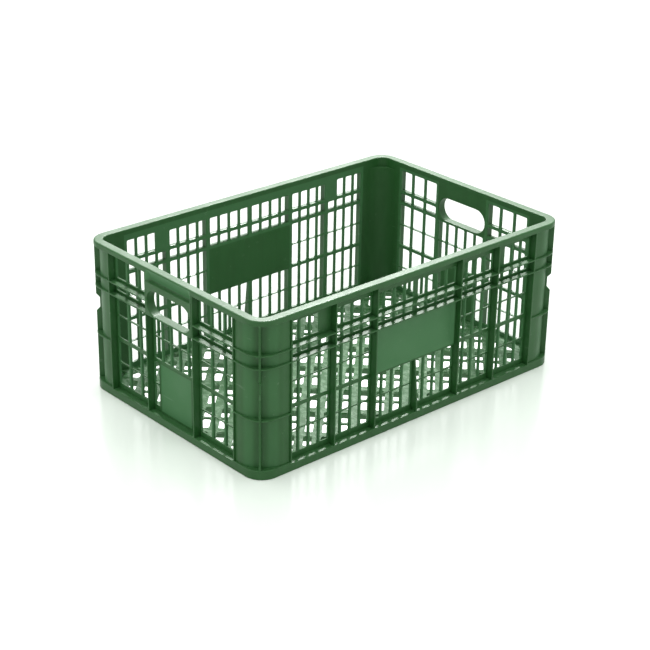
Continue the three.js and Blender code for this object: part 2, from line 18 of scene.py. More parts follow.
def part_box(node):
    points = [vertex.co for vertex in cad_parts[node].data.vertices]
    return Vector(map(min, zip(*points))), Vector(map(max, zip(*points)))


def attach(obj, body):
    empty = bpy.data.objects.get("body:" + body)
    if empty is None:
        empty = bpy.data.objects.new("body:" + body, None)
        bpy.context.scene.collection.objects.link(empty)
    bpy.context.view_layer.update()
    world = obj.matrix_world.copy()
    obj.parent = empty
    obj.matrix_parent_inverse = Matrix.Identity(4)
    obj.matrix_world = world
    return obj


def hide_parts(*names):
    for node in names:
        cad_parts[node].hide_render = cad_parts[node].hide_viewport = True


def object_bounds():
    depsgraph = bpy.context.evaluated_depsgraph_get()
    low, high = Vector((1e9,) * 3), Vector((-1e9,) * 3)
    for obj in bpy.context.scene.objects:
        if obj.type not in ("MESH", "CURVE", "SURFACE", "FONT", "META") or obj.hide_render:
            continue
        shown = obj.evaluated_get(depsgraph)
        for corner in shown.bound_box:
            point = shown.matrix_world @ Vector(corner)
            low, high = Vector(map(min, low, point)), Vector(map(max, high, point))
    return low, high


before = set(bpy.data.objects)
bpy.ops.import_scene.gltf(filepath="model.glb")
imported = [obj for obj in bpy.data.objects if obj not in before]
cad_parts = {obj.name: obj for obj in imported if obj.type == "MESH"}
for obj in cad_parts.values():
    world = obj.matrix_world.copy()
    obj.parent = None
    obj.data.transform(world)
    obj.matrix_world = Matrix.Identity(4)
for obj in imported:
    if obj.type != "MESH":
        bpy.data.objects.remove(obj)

cad_low, cad_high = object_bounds()
print("frame of", len(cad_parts), "nodes, size", [round(v, 4) for v in cad_high - cad_low])

# %% [markdown]
# The camera comes first, because everything is judged from it. The photograph was taken from
# the front left corner, a little above the rim, with a long lens. The place and the turn below
# were found by fitting the crate's edges, so the rim and the ribs fall where they should.

# %% Place the camera
CAMERA_AZIMUTH = math.radians(-41.878)
CAMERA_ELEVATION = math.radians(24.963)
CAMERA_ROLL = math.radians(0.970)
CAMERA_PLACE = Vector((-1.58118, -1.75884, 1.18128))
FOCAL_LENGTH_PIXELS = 1702.0
PHOTO_WIDTH_PIXELS = 650


def camera_axes():
    """The camera's right, up and backward directions."""
    level = math.cos(CAMERA_ELEVATION)
    back = Vector((
        math.sin(CAMERA_AZIMUTH) * level,
        -math.cos(CAMERA_AZIMUTH) * level,
        math.sin(CAMERA_ELEVATION),
    ))
    right = (-back).cross(Vector((0, 0, 1))).normalized()
    up = right.cross(-back)
    turn, tilt = math.cos(CAMERA_ROLL), math.sin(CAMERA_ROLL)
    return turn * right + tilt * up, turn * up - tilt * right, back


camera_data = bpy.data.cameras.new("photo_camera")
camera_data.sensor_width = 36
camera_data.lens = FOCAL_LENGTH_PIXELS / PHOTO_WIDTH_PIXELS * camera_data.sensor_width
camera = bpy.data.objects.new("photo_camera", camera_data)
bpy.context.collection.objects.link(camera)
camera.matrix_world = Matrix.Translation(CAMERA_PLACE) @ Matrix(camera_axes()).transposed().to_4x4()
bpy.context.scene.camera = camera
print("lens", round(camera_data.lens, 1), "mm")

# %% [markdown]
# Every patterned effect is a node group with named sockets, built once and then placed in a
# material. A few helpers keep that short. An output is passed on as a pair of its node and its
# name or number, so that one call can add a node and link its inputs.

# %% Helpers for shader nodes
BLACK = (0, 0, 0, 1)
WHITE = (1, 1, 1, 1)
SOCKETS = {1: "NodeSocketFloat", 3: "NodeSocketVector", 4: "NodeSocketColor"}


def connect(tree, node, inputs):
    """Fills a node's inputs with values, or links them from (node, output) pairs."""
    for name, value in inputs.items():
        if isinstance(value, tuple) and isinstance(value[0], bpy.types.Node):
            tree.links.new(value[0].outputs[value[1]], node.inputs[name])
        else:
            node.inputs[name].default_value = value


def add_node(tree, kind, inputs=None, **settings):
    made = tree.nodes.new("ShaderNode" + kind)
    for setting, value in settings.items():
        setattr(made, setting, value)
    connect(tree, made, inputs or {})
    return made


def shader_group(name, inputs, outputs):
    """A node group with its input and output nodes. Each socket's kind follows from its value:
    a number, a vector of three or a colour of four."""
    group = bpy.data.node_groups.new(name, "ShaderNodeTree")
    for direction, sockets in (("INPUT", inputs), ("OUTPUT", outputs)):
        for socket, value in sockets.items():
            kind = SOCKETS[len(value) if isinstance(value, tuple) else 1]
            made = group.interface.new_socket(socket, in_out=direction, socket_type=kind)
            made.default_value = value
    return group, group.nodes.new("NodeGroupInput"), group.nodes.new("NodeGroupOutput")


def calculate(tree, operation, first, second=0.0):
    return add_node(tree, "Math", {0: first, 1: second}, operation=operation), "Value"


def vector_math(tree, operation, first, second=(0, 0, 0)):
    output = "Value" if operation in ("DOT_PRODUCT", "LENGTH") else "Vector"
    return add_node(tree, "VectorMath", {0: first, 1: second}, operation=operation), output


def smooth_step(tree, source, low, high, to_low=0.0, to_high=1.0):
    """A value eased from one range into another."""
    ranges = {"Value": source, "From Min": low, "From Max": high, "To Min": to_low, "To Max": to_high}
    return add_node(tree, "MapRange", ranges, interpolation_type="SMOOTHSTEP"), "Result"


def mix_colours(tree, factor, first, second):
    """Two colours mixed by a factor. A Mix node keeps its colours in sockets 6 and 7."""
    return add_node(tree, "Mix", {0: factor, 6: first, 7: second}, data_type="RGBA"), 2


def noise(tree, place, scale, detail, roughness=0.5, distortion=0.0):
    inputs = {"Vector": place, "Scale": scale, "Detail": detail, "Roughness": roughness}
    return add_node(tree, "TexNoise", {**inputs, "Distortion": distortion}), "Fac"


print("socket kinds:", ", ".join(SOCKETS.values()))

# %% [markdown]
# The crate stands on a white sheet with a faint gloss. A wide plane is enough: it is the stage,
# and no part of the object. Product studios light such a sheet from below, so that the gaps of
# a grid show as clean white. Here the part that the crate covers glows, as if lamps shone
# through it. The green in the sheet's own colour only shows in the shade, where the white isn't
# burnt out. From below the sheet is clear, so that a camera there sees the crate's underside.

# %% Lay the white sheet
SHEET_REACH = 6.0
SHEET_DROP = 0.0002
SHEET_SHADES = ((0.77, 0.84, 0.77, 1), (0.79, 0.85, 0.79, 1))
SHEET_ROUGHNESS = 0.2
SHEET_GLOSS = 1.0
SHEET_IOR = 1.6
LAMP_MARGIN = 0.001
LAMP_SOFTNESS = 0.004
LAMP_CORNER = 0.03
LAMP_STRENGTH = 1.7


def under_crate(tree, place):
    """A mask that is 1 under the crate: a rectangle with round corners."""
    inner = (cad_high.x - LAMP_CORNER, cad_high.y - LAMP_CORNER, 0)
    beyond = vector_math(tree, "SUBTRACT", vector_math(tree, "ABSOLUTE", place), inner)
    distance = vector_math(tree, "LENGTH", vector_math(tree, "MAXIMUM", beyond))
    edge = LAMP_CORNER - LAMP_MARGIN
    return smooth_step(tree, distance, edge - LAMP_SOFTNESS, edge, 1.0, 0.0)


def white_sheet():
    material = bpy.data.materials.new("white_sheet")
    material.use_nodes = True
    tree = material.node_tree
    place = (add_node(tree, "TexCoord"), "Object")
    tone = noise(tree, place, scale=3.0, detail=4.0)
    seen_from_below = (add_node(tree, "NewGeometry"), "Backfacing")
    connect(tree, tree.nodes["Principled BSDF"], {
        "Base Color": mix_colours(tree, tone, *SHEET_SHADES),
        "Emission Color": mix_colours(tree, under_crate(tree, place), BLACK, WHITE),
        "Alpha": calculate(tree, "SUBTRACT", 1.0, seen_from_below),
        "Emission Strength": LAMP_STRENGTH,
        "Roughness": SHEET_ROUGHNESS,
        "Specular IOR Level": SHEET_GLOSS,
        "IOR": SHEET_IOR,
    })
    return material


sheet_mesh = bpy.data.meshes.new("floor_sheet")
sheet_corners = [(x * SHEET_REACH, y * SHEET_REACH, 0) for x, y in ((-1, -1), (1, -1), (1, 1), (-1, 1))]
sheet_mesh.from_pydata(sheet_corners, [], [(0, 1, 2, 3)])
sheet_mesh.materials.append(white_sheet())
floor_sheet = bpy.data.objects.new("floor_sheet", sheet_mesh)
bpy.context.collection.objects.link(floor_sheet)
floor_sheet.location.z = cad_low.z - SHEET_DROP
print("laid", floor_sheet.name)

# %% [markdown]
# The room is white behind and above the crate and dim in front of it, where the photographer
# stands, so the near walls stay a deep green. What the camera sees directly is plain white on
# every side. A key light high behind the crate shines through the vents and lays bright dashes
# on the flanges and the foot. A lower lamp beside it is mirrored by whatever faces up, so the
# top of the rim is pale on the left. Two weak fill lights stand well to the left and the right
# of the camera. All four leave the sheet out, as it shows no hard shadow in the photograph.

# %% Light the studio
ROOM_BEHIND = 1.35
ROOM_IN_FRONT = 0.88
ROOM_ABOVE = 3.2
FRONT_TO_BACK = (-0.4, 0.5)
WALL_TO_CEILING = (0.7, 0.95)
FILL_TURN = math.radians(58)
FILL_ELEVATION = math.radians(22)
# Each lamp's azimuth, elevation, distance in metres, size in metres and power in watts.
LAMPS = {
    "key_behind": (math.radians(132), math.radians(45), 3.0, 0.4, 105),
    "low_behind": (math.radians(145), math.radians(25), 4.0, 1.6, 38),
    "fill_left": (CAMERA_AZIMUTH - FILL_TURN, FILL_ELEVATION, 2.2, 0.35, 6),
    "fill_right": (CAMERA_AZIMUTH + FILL_TURN, FILL_ELEVATION, 2.2, 0.35, 3),
}


def direction_to(azimuth, elevation):
    level = math.cos(elevation)
    return Vector((math.sin(azimuth) * level, -math.cos(azimuth) * level, math.sin(elevation)))


def white_room():
    world = bpy.data.worlds.new("white_room")
    world.use_nodes = True
    tree = world.node_tree
    ray = (add_node(tree, "TexCoord"), "Generated")
    facing_back = vector_math(tree, "DOT_PRODUCT", ray, direction_to(CAMERA_AZIMUTH + math.pi, 0))
    height = (add_node(tree, "SeparateXYZ", {"Vector": ray}), "Z")
    around = smooth_step(tree, facing_back, *FRONT_TO_BACK, ROOM_IN_FRONT, ROOM_BEHIND)
    above = smooth_step(tree, height, *WALL_TO_CEILING, 0.0, ROOM_ABOVE)
    room = calculate(tree, "MAXIMUM", around, above)
    from_camera = (add_node(tree, "LightPath"), "Is Camera Ray")
    strength = (add_node(tree, "Mix", {0: from_camera, 2: room, 3: 1.0}), 0)
    connect(tree, tree.nodes["Background"], {"Color": WHITE, "Strength": strength})
    return world


def soft_box(name, azimuth, elevation, distance, size, power):
    """A square area light that looks at the crate's middle and leaves the sheet alone."""
    data = bpy.data.lights.new(name, "AREA")
    data.shape = "SQUARE"
    data.size = size
    data.energy = power
    light = bpy.data.objects.new(name, data)
    bpy.context.collection.objects.link(light)
    towards = direction_to(azimuth, elevation)
    light.location = (cad_low + cad_high) / 2 + distance * towards
    light.rotation_euler = (-towards).to_track_quat("-Z", "Y").to_euler()
    spared = bpy.data.collections.new("spared_by_" + name)
    spared.objects.link(floor_sheet)
    spared.collection_objects[0].light_linking.link_state = "EXCLUDE"
    light.light_linking.receiver_collection = spared


bpy.context.scene.world = white_room()
for lamp_name, settings in LAMPS.items():
    soft_box(lamp_name, *settings)
bpy.context.scene.view_settings.view_transform = "Standard"
print("lights:", ", ".join(LAMPS))

# %% [markdown]
# Green polyethylene is never quite one green. The pigment is stirred into the melt, and it
# leaves slow clouds and faint streaks that follow the flow up the walls. Two noises give this:
# a cloudy one, and one that is stretched along the height.

# %% Group: stirred pigment
STREAK_SHAPE = (1, 1, 0.16)
PALE_BETWEEN = (0.75, 1.25)


def stirred_pigment():
    inputs = {"Deep colour": BLACK, "Pale colour": WHITE, "Cloud size": 8.0, "Streak size": 70.0}
    group, given, out = shader_group("Stirred pigment", inputs, {"Colour": BLACK})
    place = (add_node(group, "TexCoord"), "Object")
    upright = (add_node(group, "Mapping", {"Vector": place, "Scale": STREAK_SHAPE}), "Vector")
    clouds = noise(group, place, (given, "Cloud size"), detail=4.0, roughness=0.55)
    streaks = noise(group, upright, (given, "Streak size"), detail=3.0, distortion=0.3)
    both = calculate(group, "ADD", clouds, streaks)
    paleness = smooth_step(group, both, *PALE_BETWEEN)
    colour = mix_colours(group, paleness, (given, "Deep colour"), (given, "Pale colour"))
    connect(group, out, {"Colour": colour})
    return group


PIGMENT = stirred_pigment()
print("made", PIGMENT.name)

# %% [markdown]
# The steel of the mould is spark-eroded, so the plastic comes out with a satin grain instead of
# a mirror. A fast noise gives the grain's height. A slower one makes the gloss uneven, as it is
# where the plastic shrank away from the steel a little sooner.

# %% Group: mould grain
DULL_BETWEEN = (0.3, 0.7)


def mould_grain():
    inputs = {"Grain size": 1400.0, "Patch size": 26.0, "Patch height": 2.2, "Frost and painted light": 0.0,
              "Smoothest": 0.37, "Roughest": 0.47, "Added by frost": 0.13}
    group, given, out = shader_group("Mould grain", inputs, {"Height": 0.0, "Roughness": 0.0})
    place = (add_node(group, "TexCoord"), "Object")
    grain = noise(group, place, (given, "Grain size"), detail=2.0, roughness=0.6)
    waves = noise(group, place, (given, "Patch size"), detail=3.0)
    patches = calculate(group, "MULTIPLY", waves, (given, "Patch height"))
    smooth = smooth_step(group, waves, *DULL_BETWEEN, (given, "Smoothest"), (given, "Roughest"))
    pits = calculate(group, "MULTIPLY", (given, "Frost and painted light"), (given, "Added by frost"))
    connect(group, out, {
        "Height": calculate(group, "ADD", grain, patches),
        "Roughness": calculate(group, "ADD", smooth, pits),
    })
    return group


GRAIN = mould_grain()
print("made", GRAIN.name)

# %% [markdown]
# Some of the mould's faces are frosted, and their fine pits make them rougher. Their colour is
# painted lighter as well, a painted highlight that stands in for the light these faces catch. A
# plate is frosted and painted lighter all over. On a corner post the frost and the painted
# highlight lie in two upright bands, between the flats and the corner's own fin. The normal is
# laid level, and the product of its two parts tells how far a face is turned: it is 0 on the
# flats and 0.5 on the corner.

# %% Group: frost and painted light
LIGHT_BANDS_START = (0.08, 0.26)
LIGHT_BANDS_END = (0.4, 0.48)


def frost_and_light_cover():
    inputs = {"Colour": BLACK, "Painted light colour": WHITE, "Everywhere": 0.0, "Light bands": 0.0}
    group, given, out = shader_group("Frost and painted light", inputs, {"Colour": BLACK, "Mask": 0.0})
    normal = (add_node(group, "TexCoord"), "Normal")
    level = vector_math(group, "MULTIPLY", normal, (1, 1, 0))
    axes = add_node(group, "SeparateXYZ", {"Vector": vector_math(group, "NORMALIZE", level)})
    product = calculate(group, "MULTIPLY", (axes, "X"), (axes, "Y"))
    turned = calculate(group, "ABSOLUTE", product)
    off_flats = smooth_step(group, turned, *LIGHT_BANDS_START)
    off_corner = smooth_step(group, turned, *LIGHT_BANDS_END, 1.0, 0.0)
    light_bands = calculate(group, "MULTIPLY", off_flats, off_corner)
    share = calculate(group, "MULTIPLY", light_bands, (given, "Light bands"))
    mask = calculate(group, "MAXIMUM", share, (given, "Everywhere"))
    # The mask mixes in the painted light colour: a painted highlight, all over or in bands.
    colour = mix_colours(group, mask, (given, "Colour"), (given, "Painted light colour"))
    connect(group, out, {"Colour": colour, "Mask": mask})
    return group


FROST_AND_LIGHT = frost_and_light_cover()
print("made", FROST_AND_LIGHT.name)

# %% [markdown]
# Crates are stacked, dragged and thrown, and even a clean one has short pale scuffs and a
# trace of dust on what faces up. Stretched noise, cut to its peaks, gives the scuffs. The
# surface's own normal says where dust can lie. On the floor the same marks, larger and denser,
# are painted light: pale mottles that stand in for light reflected through the vents.

# %% Group: handling scuffs and painted light mottles
DUST_LIES_ON = (0.6, 0.95)
SCUFF_TURN = (0.3, 0.5, 0.7)


def handling_scuffs_and_light_mottles():
    inputs = {"Colour": BLACK, "Scuff and light mottle colour": WHITE, "Scuff and light mottle size": 90.0, "Scuff and light mottle share": 0.12,
              "Dust share": 0.03, "Marks from": 0.62, "Marks to": 0.72, "Stretch": (1, 0.12, 1)}
    group, given, out = shader_group("Handling scuffs and light mottles", inputs, {"Colour": BLACK})
    place = (add_node(group, "TexCoord"), "Object")
    turned = {"Vector": place, "Rotation": SCUFF_TURN, "Scale": (given, "Stretch")}
    slanted = (add_node(group, "Mapping", turned), "Vector")
    marks = noise(group, slanted, (given, "Scuff and light mottle size"), detail=6.0, roughness=0.7)
    peaks = smooth_step(group, marks, (given, "Marks from"), (given, "Marks to"))
    normal = (add_node(group, "NewGeometry"), "Normal")
    upwards = (add_node(group, "SeparateXYZ", {"Vector": normal}), "Z")
    facing_up = smooth_step(group, upwards, *DUST_LIES_ON)
    scuffs_and_light_mottles = calculate(group, "MULTIPLY", peaks, (given, "Scuff and light mottle share"))
    dust = calculate(group, "MULTIPLY", facing_up, (given, "Dust share"))
    mask = calculate(group, "MAXIMUM", scuffs_and_light_mottles, dust)
    colour = mix_colours(group, mask, (given, "Colour"), (given, "Scuff and light mottle colour"))
    connect(group, out, {"Colour": colour})
    return group


SCUFFS_AND_LIGHT_MOTTLES = handling_scuffs_and_light_mottles()
print("made", SCUFFS_AND_LIGHT_MOTTLES.name)

# %% [markdown]
# The plastic itself is a Principled shader. Its colour passes from the pigment through the
# frost's painted light and the scuffs, its roughness and relief come from the grain, and a little
# subsurface light stands for the glow that thin polyethylene has when a lamp is behind it. The
# same groups with other values make five finishes: smooth ribs and rims; frosted label plates
# and finger hollows, painted lighter all over; lattices painted mostly lighter on their upright
# bars and inside; posts with painted highlight bands on their curves; and a dull floor with
# heavy pale marks, painted mottles of the light reflected through the vents.

# %% Materials: five finishes of polyethylene
DEEP_GREEN = (0.0135, 0.071, 0.0145, 1)
PALE_GREEN = (0.0165, 0.082, 0.0185, 1)
# A lighter copy of the green: painted light where faces catch more light.
PAINTED_LIGHT_GREEN = (0.040, 0.136, 0.048, 1)
SCUFF_AND_LIGHT_MOTTLE_GREEN = (0.3, 0.42, 0.3, 1)
GLOW = {"Subsurface Weight": 0.06, "Subsurface Radius": (0.5, 1.0, 0.5), "Subsurface Scale": 0.0025}
RELIEF = {"Strength": 0.25, "Distance": 0.0002}
# The floor's heavy pale marks are painted light: mottles for light reflected through the vents.
FLOOR_LIGHT_MOTTLES = {"Scuff and light mottle size": 120.0, "Scuff and light mottle share": 0.28, "Marks from": 0.42, "Marks to": 0.62,
           "Stretch": (1, 0.6, 1)}


def green_polyethylene(name, frost_and_light_share=0.0, light_bands_share=0.0, gloss=0.32, marks=None):
    """One finish. The gloss is a constant, so it is set on the shader's own socket."""
    material = bpy.data.materials.new(name)
    material.use_nodes = True
    tree = material.node_tree

    def use_group(group, inputs):
        return add_node(tree, "Group", inputs, node_tree=group)

    pigment = use_group(PIGMENT, {"Deep colour": DEEP_GREEN, "Pale colour": PALE_GREEN})
    frost_and_light = use_group(FROST_AND_LIGHT, {
        "Colour": (pigment, "Colour"), "Painted light colour": PAINTED_LIGHT_GREEN,
        "Everywhere": frost_and_light_share, "Light bands": light_bands_share,
    })
    from_frost_and_light = {"Colour": (frost_and_light, "Colour"), "Scuff and light mottle colour": SCUFF_AND_LIGHT_MOTTLE_GREEN}
    scuffs_and_light_mottles = use_group(SCUFFS_AND_LIGHT_MOTTLES, {**from_frost_and_light, **(marks or {})})
    grain = use_group(GRAIN, {"Frost and painted light": (frost_and_light, "Mask")})
    relief = add_node(tree, "Bump", {"Height": (grain, "Height"), **RELIEF})
    connect(tree, tree.nodes["Principled BSDF"], {
        "Base Color": (scuffs_and_light_mottles, "Colour"),
        "Roughness": (grain, "Roughness"),
        "Normal": (relief, "Normal"),
        "Specular IOR Level": gloss,
        **GLOW,
    })
    return material


SMOOTH = green_polyethylene("smooth_polyethylene")
FROSTED_WITH_PAINTED_LIGHT = green_polyethylene("frosted_painted_light_polyethylene", frost_and_light_share=1.0)
LATTICE_PAINTED_LIGHT = green_polyethylene("lattice_painted_light_polyethylene", frost_and_light_share=0.7)
POST_PAINTED_LIGHT_BANDS = green_polyethylene("post_painted_light_bands_polyethylene", light_bands_share=0.4)
DULL_FLOOR_WITH_LIGHT_MOTTLES = green_polyethylene("dull_floor_light_mottles_polyethylene", frost_and_light_share=0.1, gloss=0.12, marks=FLOOR_LIGHT_MOTTLES)
FINISHES = (SMOOTH, FROSTED_WITH_PAINTED_LIGHT, LATTICE_PAINTED_LIGHT, POST_PAINTED_LIGHT_BANDS, DULL_FLOOR_WITH_LIGHT_MOTTLES)
print("made", ", ".join(finish.name for finish in FINISHES))

# %% [markdown]
# The crate is drawn in millimetres. Its main sizes are read from the frame, so that the drawing
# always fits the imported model: the envelope, the heights of the rim and the foot, the posts and
# the ribs. The rest are the crate's own small sizes, named here once.

# %% Sizes read from the frame
TO_MM = 1000.0


def node_box(name):
    """The low and high corners of a node, in millimetres."""
    low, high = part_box(name)
    return low * TO_MM, high * TO_MM


HALF_LENGTH = cad_high.x * TO_MM
HALF_WIDTH = cad_high.y * TO_MM
HEIGHT = cad_high.z * TO_MM
rim_low, rim_high = node_box("front_rim_rail")
RIM_BOTTOM = rim_low.z
WALL_DEPTH = rim_high.y - rim_low.y
LONG_POST_EDGE = rim_high.x
END_POST_EDGE = node_box("left_rim_rail")[1].y
FOOT_HEIGHT = node_box("front_foot_rail")[1].z
inner_rib_low, inner_rib_high = node_box("front_upright_rib_3")
outer_rib_low, outer_rib_high = node_box("front_upright_rib_4")
end_rib_low, end_rib_high = node_box("right_upright_rib_2")
INNER_RIB = (inner_rib_low.x + inner_rib_high.x) / 2
OUTER_RIB = (outer_rib_low.x + outer_rib_high.x) / 2
END_RIB = (end_rib_low.y + end_rib_high.y) / 2
RIB_HALF = (inner_rib_high.x - inner_rib_low.x) / 2
LATTICE_DEPTH = inner_rib_high.y - inner_rib_low.y
print("rim from", round(RIM_BOTTOM, 2), "wall depth", round(WALL_DEPTH, 2), "ribs at",
      round(INNER_RIB, 2), round(OUTER_RIB, 2), round(END_RIB, 2))

# %% [markdown]
# A moulded part has no sharp edges, and light finds every one of them. Rather than leave that
# to chance, each section is rounded where it is drawn. The helpers below draw an arc, turn the
# corners of an outline into small arcs, and grow an outline by a margin.

# %% Helpers for outlines
NEARLY_STRAIGHT = math.radians(88)
LONGEST_CUT = 0.49


def arc(centre, radius, start, turn, steps):
    angles = [start + turn * step / steps for step in range(steps + 1)]
    return [(centre[0] + radius * math.cos(a), centre[1] + radius * math.sin(a)) for a in angles]


def rounded(outline, radius, steps=2):
    """An outline of (a, b) points with arcs for corners. Short edges get smaller arcs."""
    points = [Vector(point) for point in outline]
    sizes = radius if isinstance(radius, list) else [radius] * len(points)
    made = []
    for i, (corner, size) in enumerate(zip(points, sizes)):
        back, ahead = points[i - 1] - corner, points[(i + 1) % len(points)] - corner
        half = back.angle(ahead) / 2
        if size <= 0 or half > NEARLY_STRAIGHT:
            made.append(tuple(corner))
            continue
        reach = min(size / math.tan(half), LONGEST_CUT * back.length, LONGEST_CUT * ahead.length)
        bisector = (back.normalized() + ahead.normalized()).normalized()
        centre = corner + bisector * (reach / math.cos(half))
        start = corner + back.normalized() * reach - centre
        end = corner + ahead.normalized() * reach - centre
        first = math.atan2(start.y, start.x)
        turn = (math.atan2(end.y, end.x) - first + math.pi) % (2 * math.pi) - math.pi
        made += arc(centre, reach * math.tan(half), first, turn, steps)
    return made


def area_of(outline):
    """The signed area of an outline, positive when it runs anticlockwise."""
    return sum(a[0] * b[1] - b[0] * a[1] for a, b in zip(outline, outline[1:] + outline[:1])) / 2


def grown(outline, margin):
    """An anticlockwise outline moved outwards by a margin, point by point."""
    made = []
    for i, point in enumerate(outline):
        before, after = outline[i - 1], outline[(i + 1) % len(outline)]
        first = Vector((point[1] - before[1], before[0] - point[0])).normalized()
        second = Vector((after[1] - point[1], point[0] - after[0])).normalized()
        move = (first + second) * margin / (1 + first.dot(second))
        made.append((point[0] + move.x, point[1] + move.y))
    return made


def rectangle(left, right, bottom, top):
    return [(left, bottom), (right, bottom), (right, top), (left, top)]


print("a rounded square has", len(rounded(rectangle(0, 4, 0, 4), 1)), "points")

# %% [markdown]
# Most of the pieces are made from three kinds of solid: a bar with one section from end to end,
# a loop or bend that carries a section along a path, and a slab with holes. Each one adds its
# faces to a shell, which joins equal points, so that every solid is closed. Some of its faces
# can be kept for a second finish.

# %% Helpers for solids
class Shell:
    """Gathers faces for one piece. Points are in millimetres, and within one solid equal
    points are shared."""

    def __init__(self):
        self.points = []
        self.known = {}
        self.faces = []
        self.finishes = []

    def vertex(self, point):
        key = tuple(round(value, 4) for value in point)
        if key not in self.known:
            self.known[key] = len(self.points)
            self.points.append([value / TO_MM for value in key])
        return self.known[key]

    def face(self, corners, second=False):
        loop = list(dict.fromkeys(self.vertex(point) for point in corners))
        if len(loop) > 2:
            self.faces.append(loop)
            self.finishes.append(int(second))


def add_rings(shell, rings, closed=False, second=False):
    """A solid from rings of equal length. An open run gets a cap at each end."""
    shell.known.clear()
    for near, far in zip(rings, rings[1:] + rings[:1] if closed else rings[1:]):
        for i in range(len(near)):
            shell.face([near[i - 1], near[i], far[i], far[i - 1]], second)
    if not closed:
        shell.face(rings[0][::-1], second)
        shell.face(rings[-1], second)


def add_bar(shell, section, stations, place, second=False):
    """A bar with a section of (a, b) points, carried through the stations along it."""
    rings = [[place(a, b, along) for a, b in section] for along in stations]
    add_rings(shell, rings, second=second)


def faces_round(loops):
    """Faces that fill the first loop and leave the others open, as lists of point numbers."""
    starts = [sum(len(loop) for loop in loops[:i]) for i in range(len(loops))]
    borders = [list(range(start, start + len(loop))) for start, loop in zip(starts, loops)]
    points = [Vector(point) for loop in loops for point in loop]
    _, _, faces, sources, _, owners = delaunay_2d_cdt(points, [], borders, 1, 1e-5)
    return [[sources[i][0] for i in face] for face, owner in zip(faces, owners) if owner == [0]]


def add_sides(shell, outlines, levels, place, second_on_jambs=False):
    """The side faces between outlines of equal length at the given levels."""
    for lower, upper, low, high in zip(outlines, outlines[1:], levels, levels[1:]):
        for i in range(len(lower)):
            across, up = lower[i][0] - lower[i - 1][0], lower[i][1] - lower[i - 1][1]
            corners = [place(*lower[i - 1], low), place(*lower[i], low),
                       place(*upper[i], high), place(*upper[i - 1], high)]
            shell.face(corners, second_on_jambs and abs(up) > abs(across))


def lowered(hole, drop):
    """A hole whose lower half lies deeper by a drop."""
    middle = sum(b for _, b in hole) / len(hole)
    return [(a, b - drop if b < middle else b) for a, b in hole]


def add_pierced_slab(shell, outline, holes, near, far, place, sill_drop=0.0, two_finishes=False):
    """A slab between two depths. Each hole is (outline, softness of its two rims), and its sill
    can fall towards the far side. The second finish goes on the far side and the jambs."""
    shell.known.clear()
    far_holes = [lowered(hole, sill_drop) for hole, _ in holes]
    mouths = [grown(hole, softness) for hole, softness in holes]
    far_mouths = [grown(hole, softness) for hole, (_, softness) in zip(far_holes, holes)]
    flat = sum(mouths, outline)
    far_flat = sum(far_mouths, outline)
    for face in faces_round([outline] + mouths):
        shell.face([place(*flat[i], near) for i in face])
        shell.face([place(*far_flat[i], far) for i in face], two_finishes)
    add_sides(shell, [outline, outline], [near, far], place)
    for (hole, softness), far_hole, mouth, far_mouth in zip(holes, far_holes, mouths, far_mouths):
        if softness > 0:
            levels = [near, near + softness, far - softness, far]
            add_sides(shell, [mouth, hole, far_hole, far_mouth], levels, place, two_finishes)
        else:
            add_sides(shell, [hole, far_hole], [near, far], place)


print("solids: bar, loop or bend, pierced slab")

# %% [markdown]
# Each piece is finished in the same way. Edges that turn sharply are marked, the rest are
# smooth, and a weighted normal modifier keeps the flats flat, so that the small arcs and bevels
# shade as they would on the moulding. The piece then rides on the frame and takes the place of
# its nodes.

# %% Helper for finishing a piece
SHARP_TURN = math.radians(50)


def finish_piece(name, shell, nodes, finish=SMOOTH, second=FROSTED_WITH_PAINTED_LIGHT):
    """A mesh object from a shell, standing for the given nodes."""
    mesh = bpy.data.meshes.new(name)
    mesh.from_pydata(shell.points, [], shell.faces)
    mesh.materials.append(finish)
    if any(shell.finishes):
        mesh.materials.append(second)
        mesh.polygons.foreach_set("material_index", shell.finishes)
    shape = bmesh.new()
    shape.from_mesh(mesh)
    bmesh.ops.recalc_face_normals(shape, faces=shape.faces)
    for face in shape.faces:
        face.smooth = True
    for edge in shape.edges:
        edge.smooth = len(edge.link_faces) == 2 and edge.calc_face_angle() < SHARP_TURN
    open_edges = sum(len(edge.link_faces) != 2 for edge in shape.edges)
    shape.to_mesh(mesh)
    shape.free()
    piece = bpy.data.objects.new(name, mesh)
    bpy.context.collection.objects.link(piece)
    shading = piece.modifiers.new("even_shading", "WEIGHTED_NORMAL")
    shading.keep_sharp = True
    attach(piece, "root")
    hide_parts(*nodes)
    print(name, len(mesh.polygons), "faces,", open_edges, "open edges")


print("sharp above", round(math.degrees(SHARP_TURN)), "degrees")

# %% [markdown]
# The four walls share one way of drawing. Each has its own frame, in which a point is how far
# along the wall it lies, how deep inside the crate's envelope, and how high. The envelope is
# the outermost skin, which the rim, the foot and the flanges reach. A slab is drawn on the
# wall's face and a bar in its cross-section, so two helpers reorder the numbers for them.

# %% The walls' own frames
LONG_SIDES = ("front", "back")
END_SIDES = ("left", "right")
SIDES = LONG_SIDES + END_SIDES
WALL_PLACES = {
    "front": lambda along, depth, z: (along, depth - HALF_WIDTH, z),
    "back": lambda along, depth, z: (-along, HALF_WIDTH - depth, z),
    "left": lambda along, depth, z: (depth - HALF_LENGTH, -along, z),
    "right": lambda along, depth, z: (HALF_LENGTH - depth, along, z),
}


def walls(sides):
    """Each side with an empty shell and its frame."""
    return [(side, Shell(), WALL_PLACES[side]) for side in sides]


def on_face(place):
    """A wall's frame for points drawn as (along, height, depth)."""
    return lambda along, z, depth: place(along, depth, z)


def in_section(place):
    """A wall's frame for points drawn as (depth, height, along)."""
    return lambda depth, z, along: place(along, depth, z)


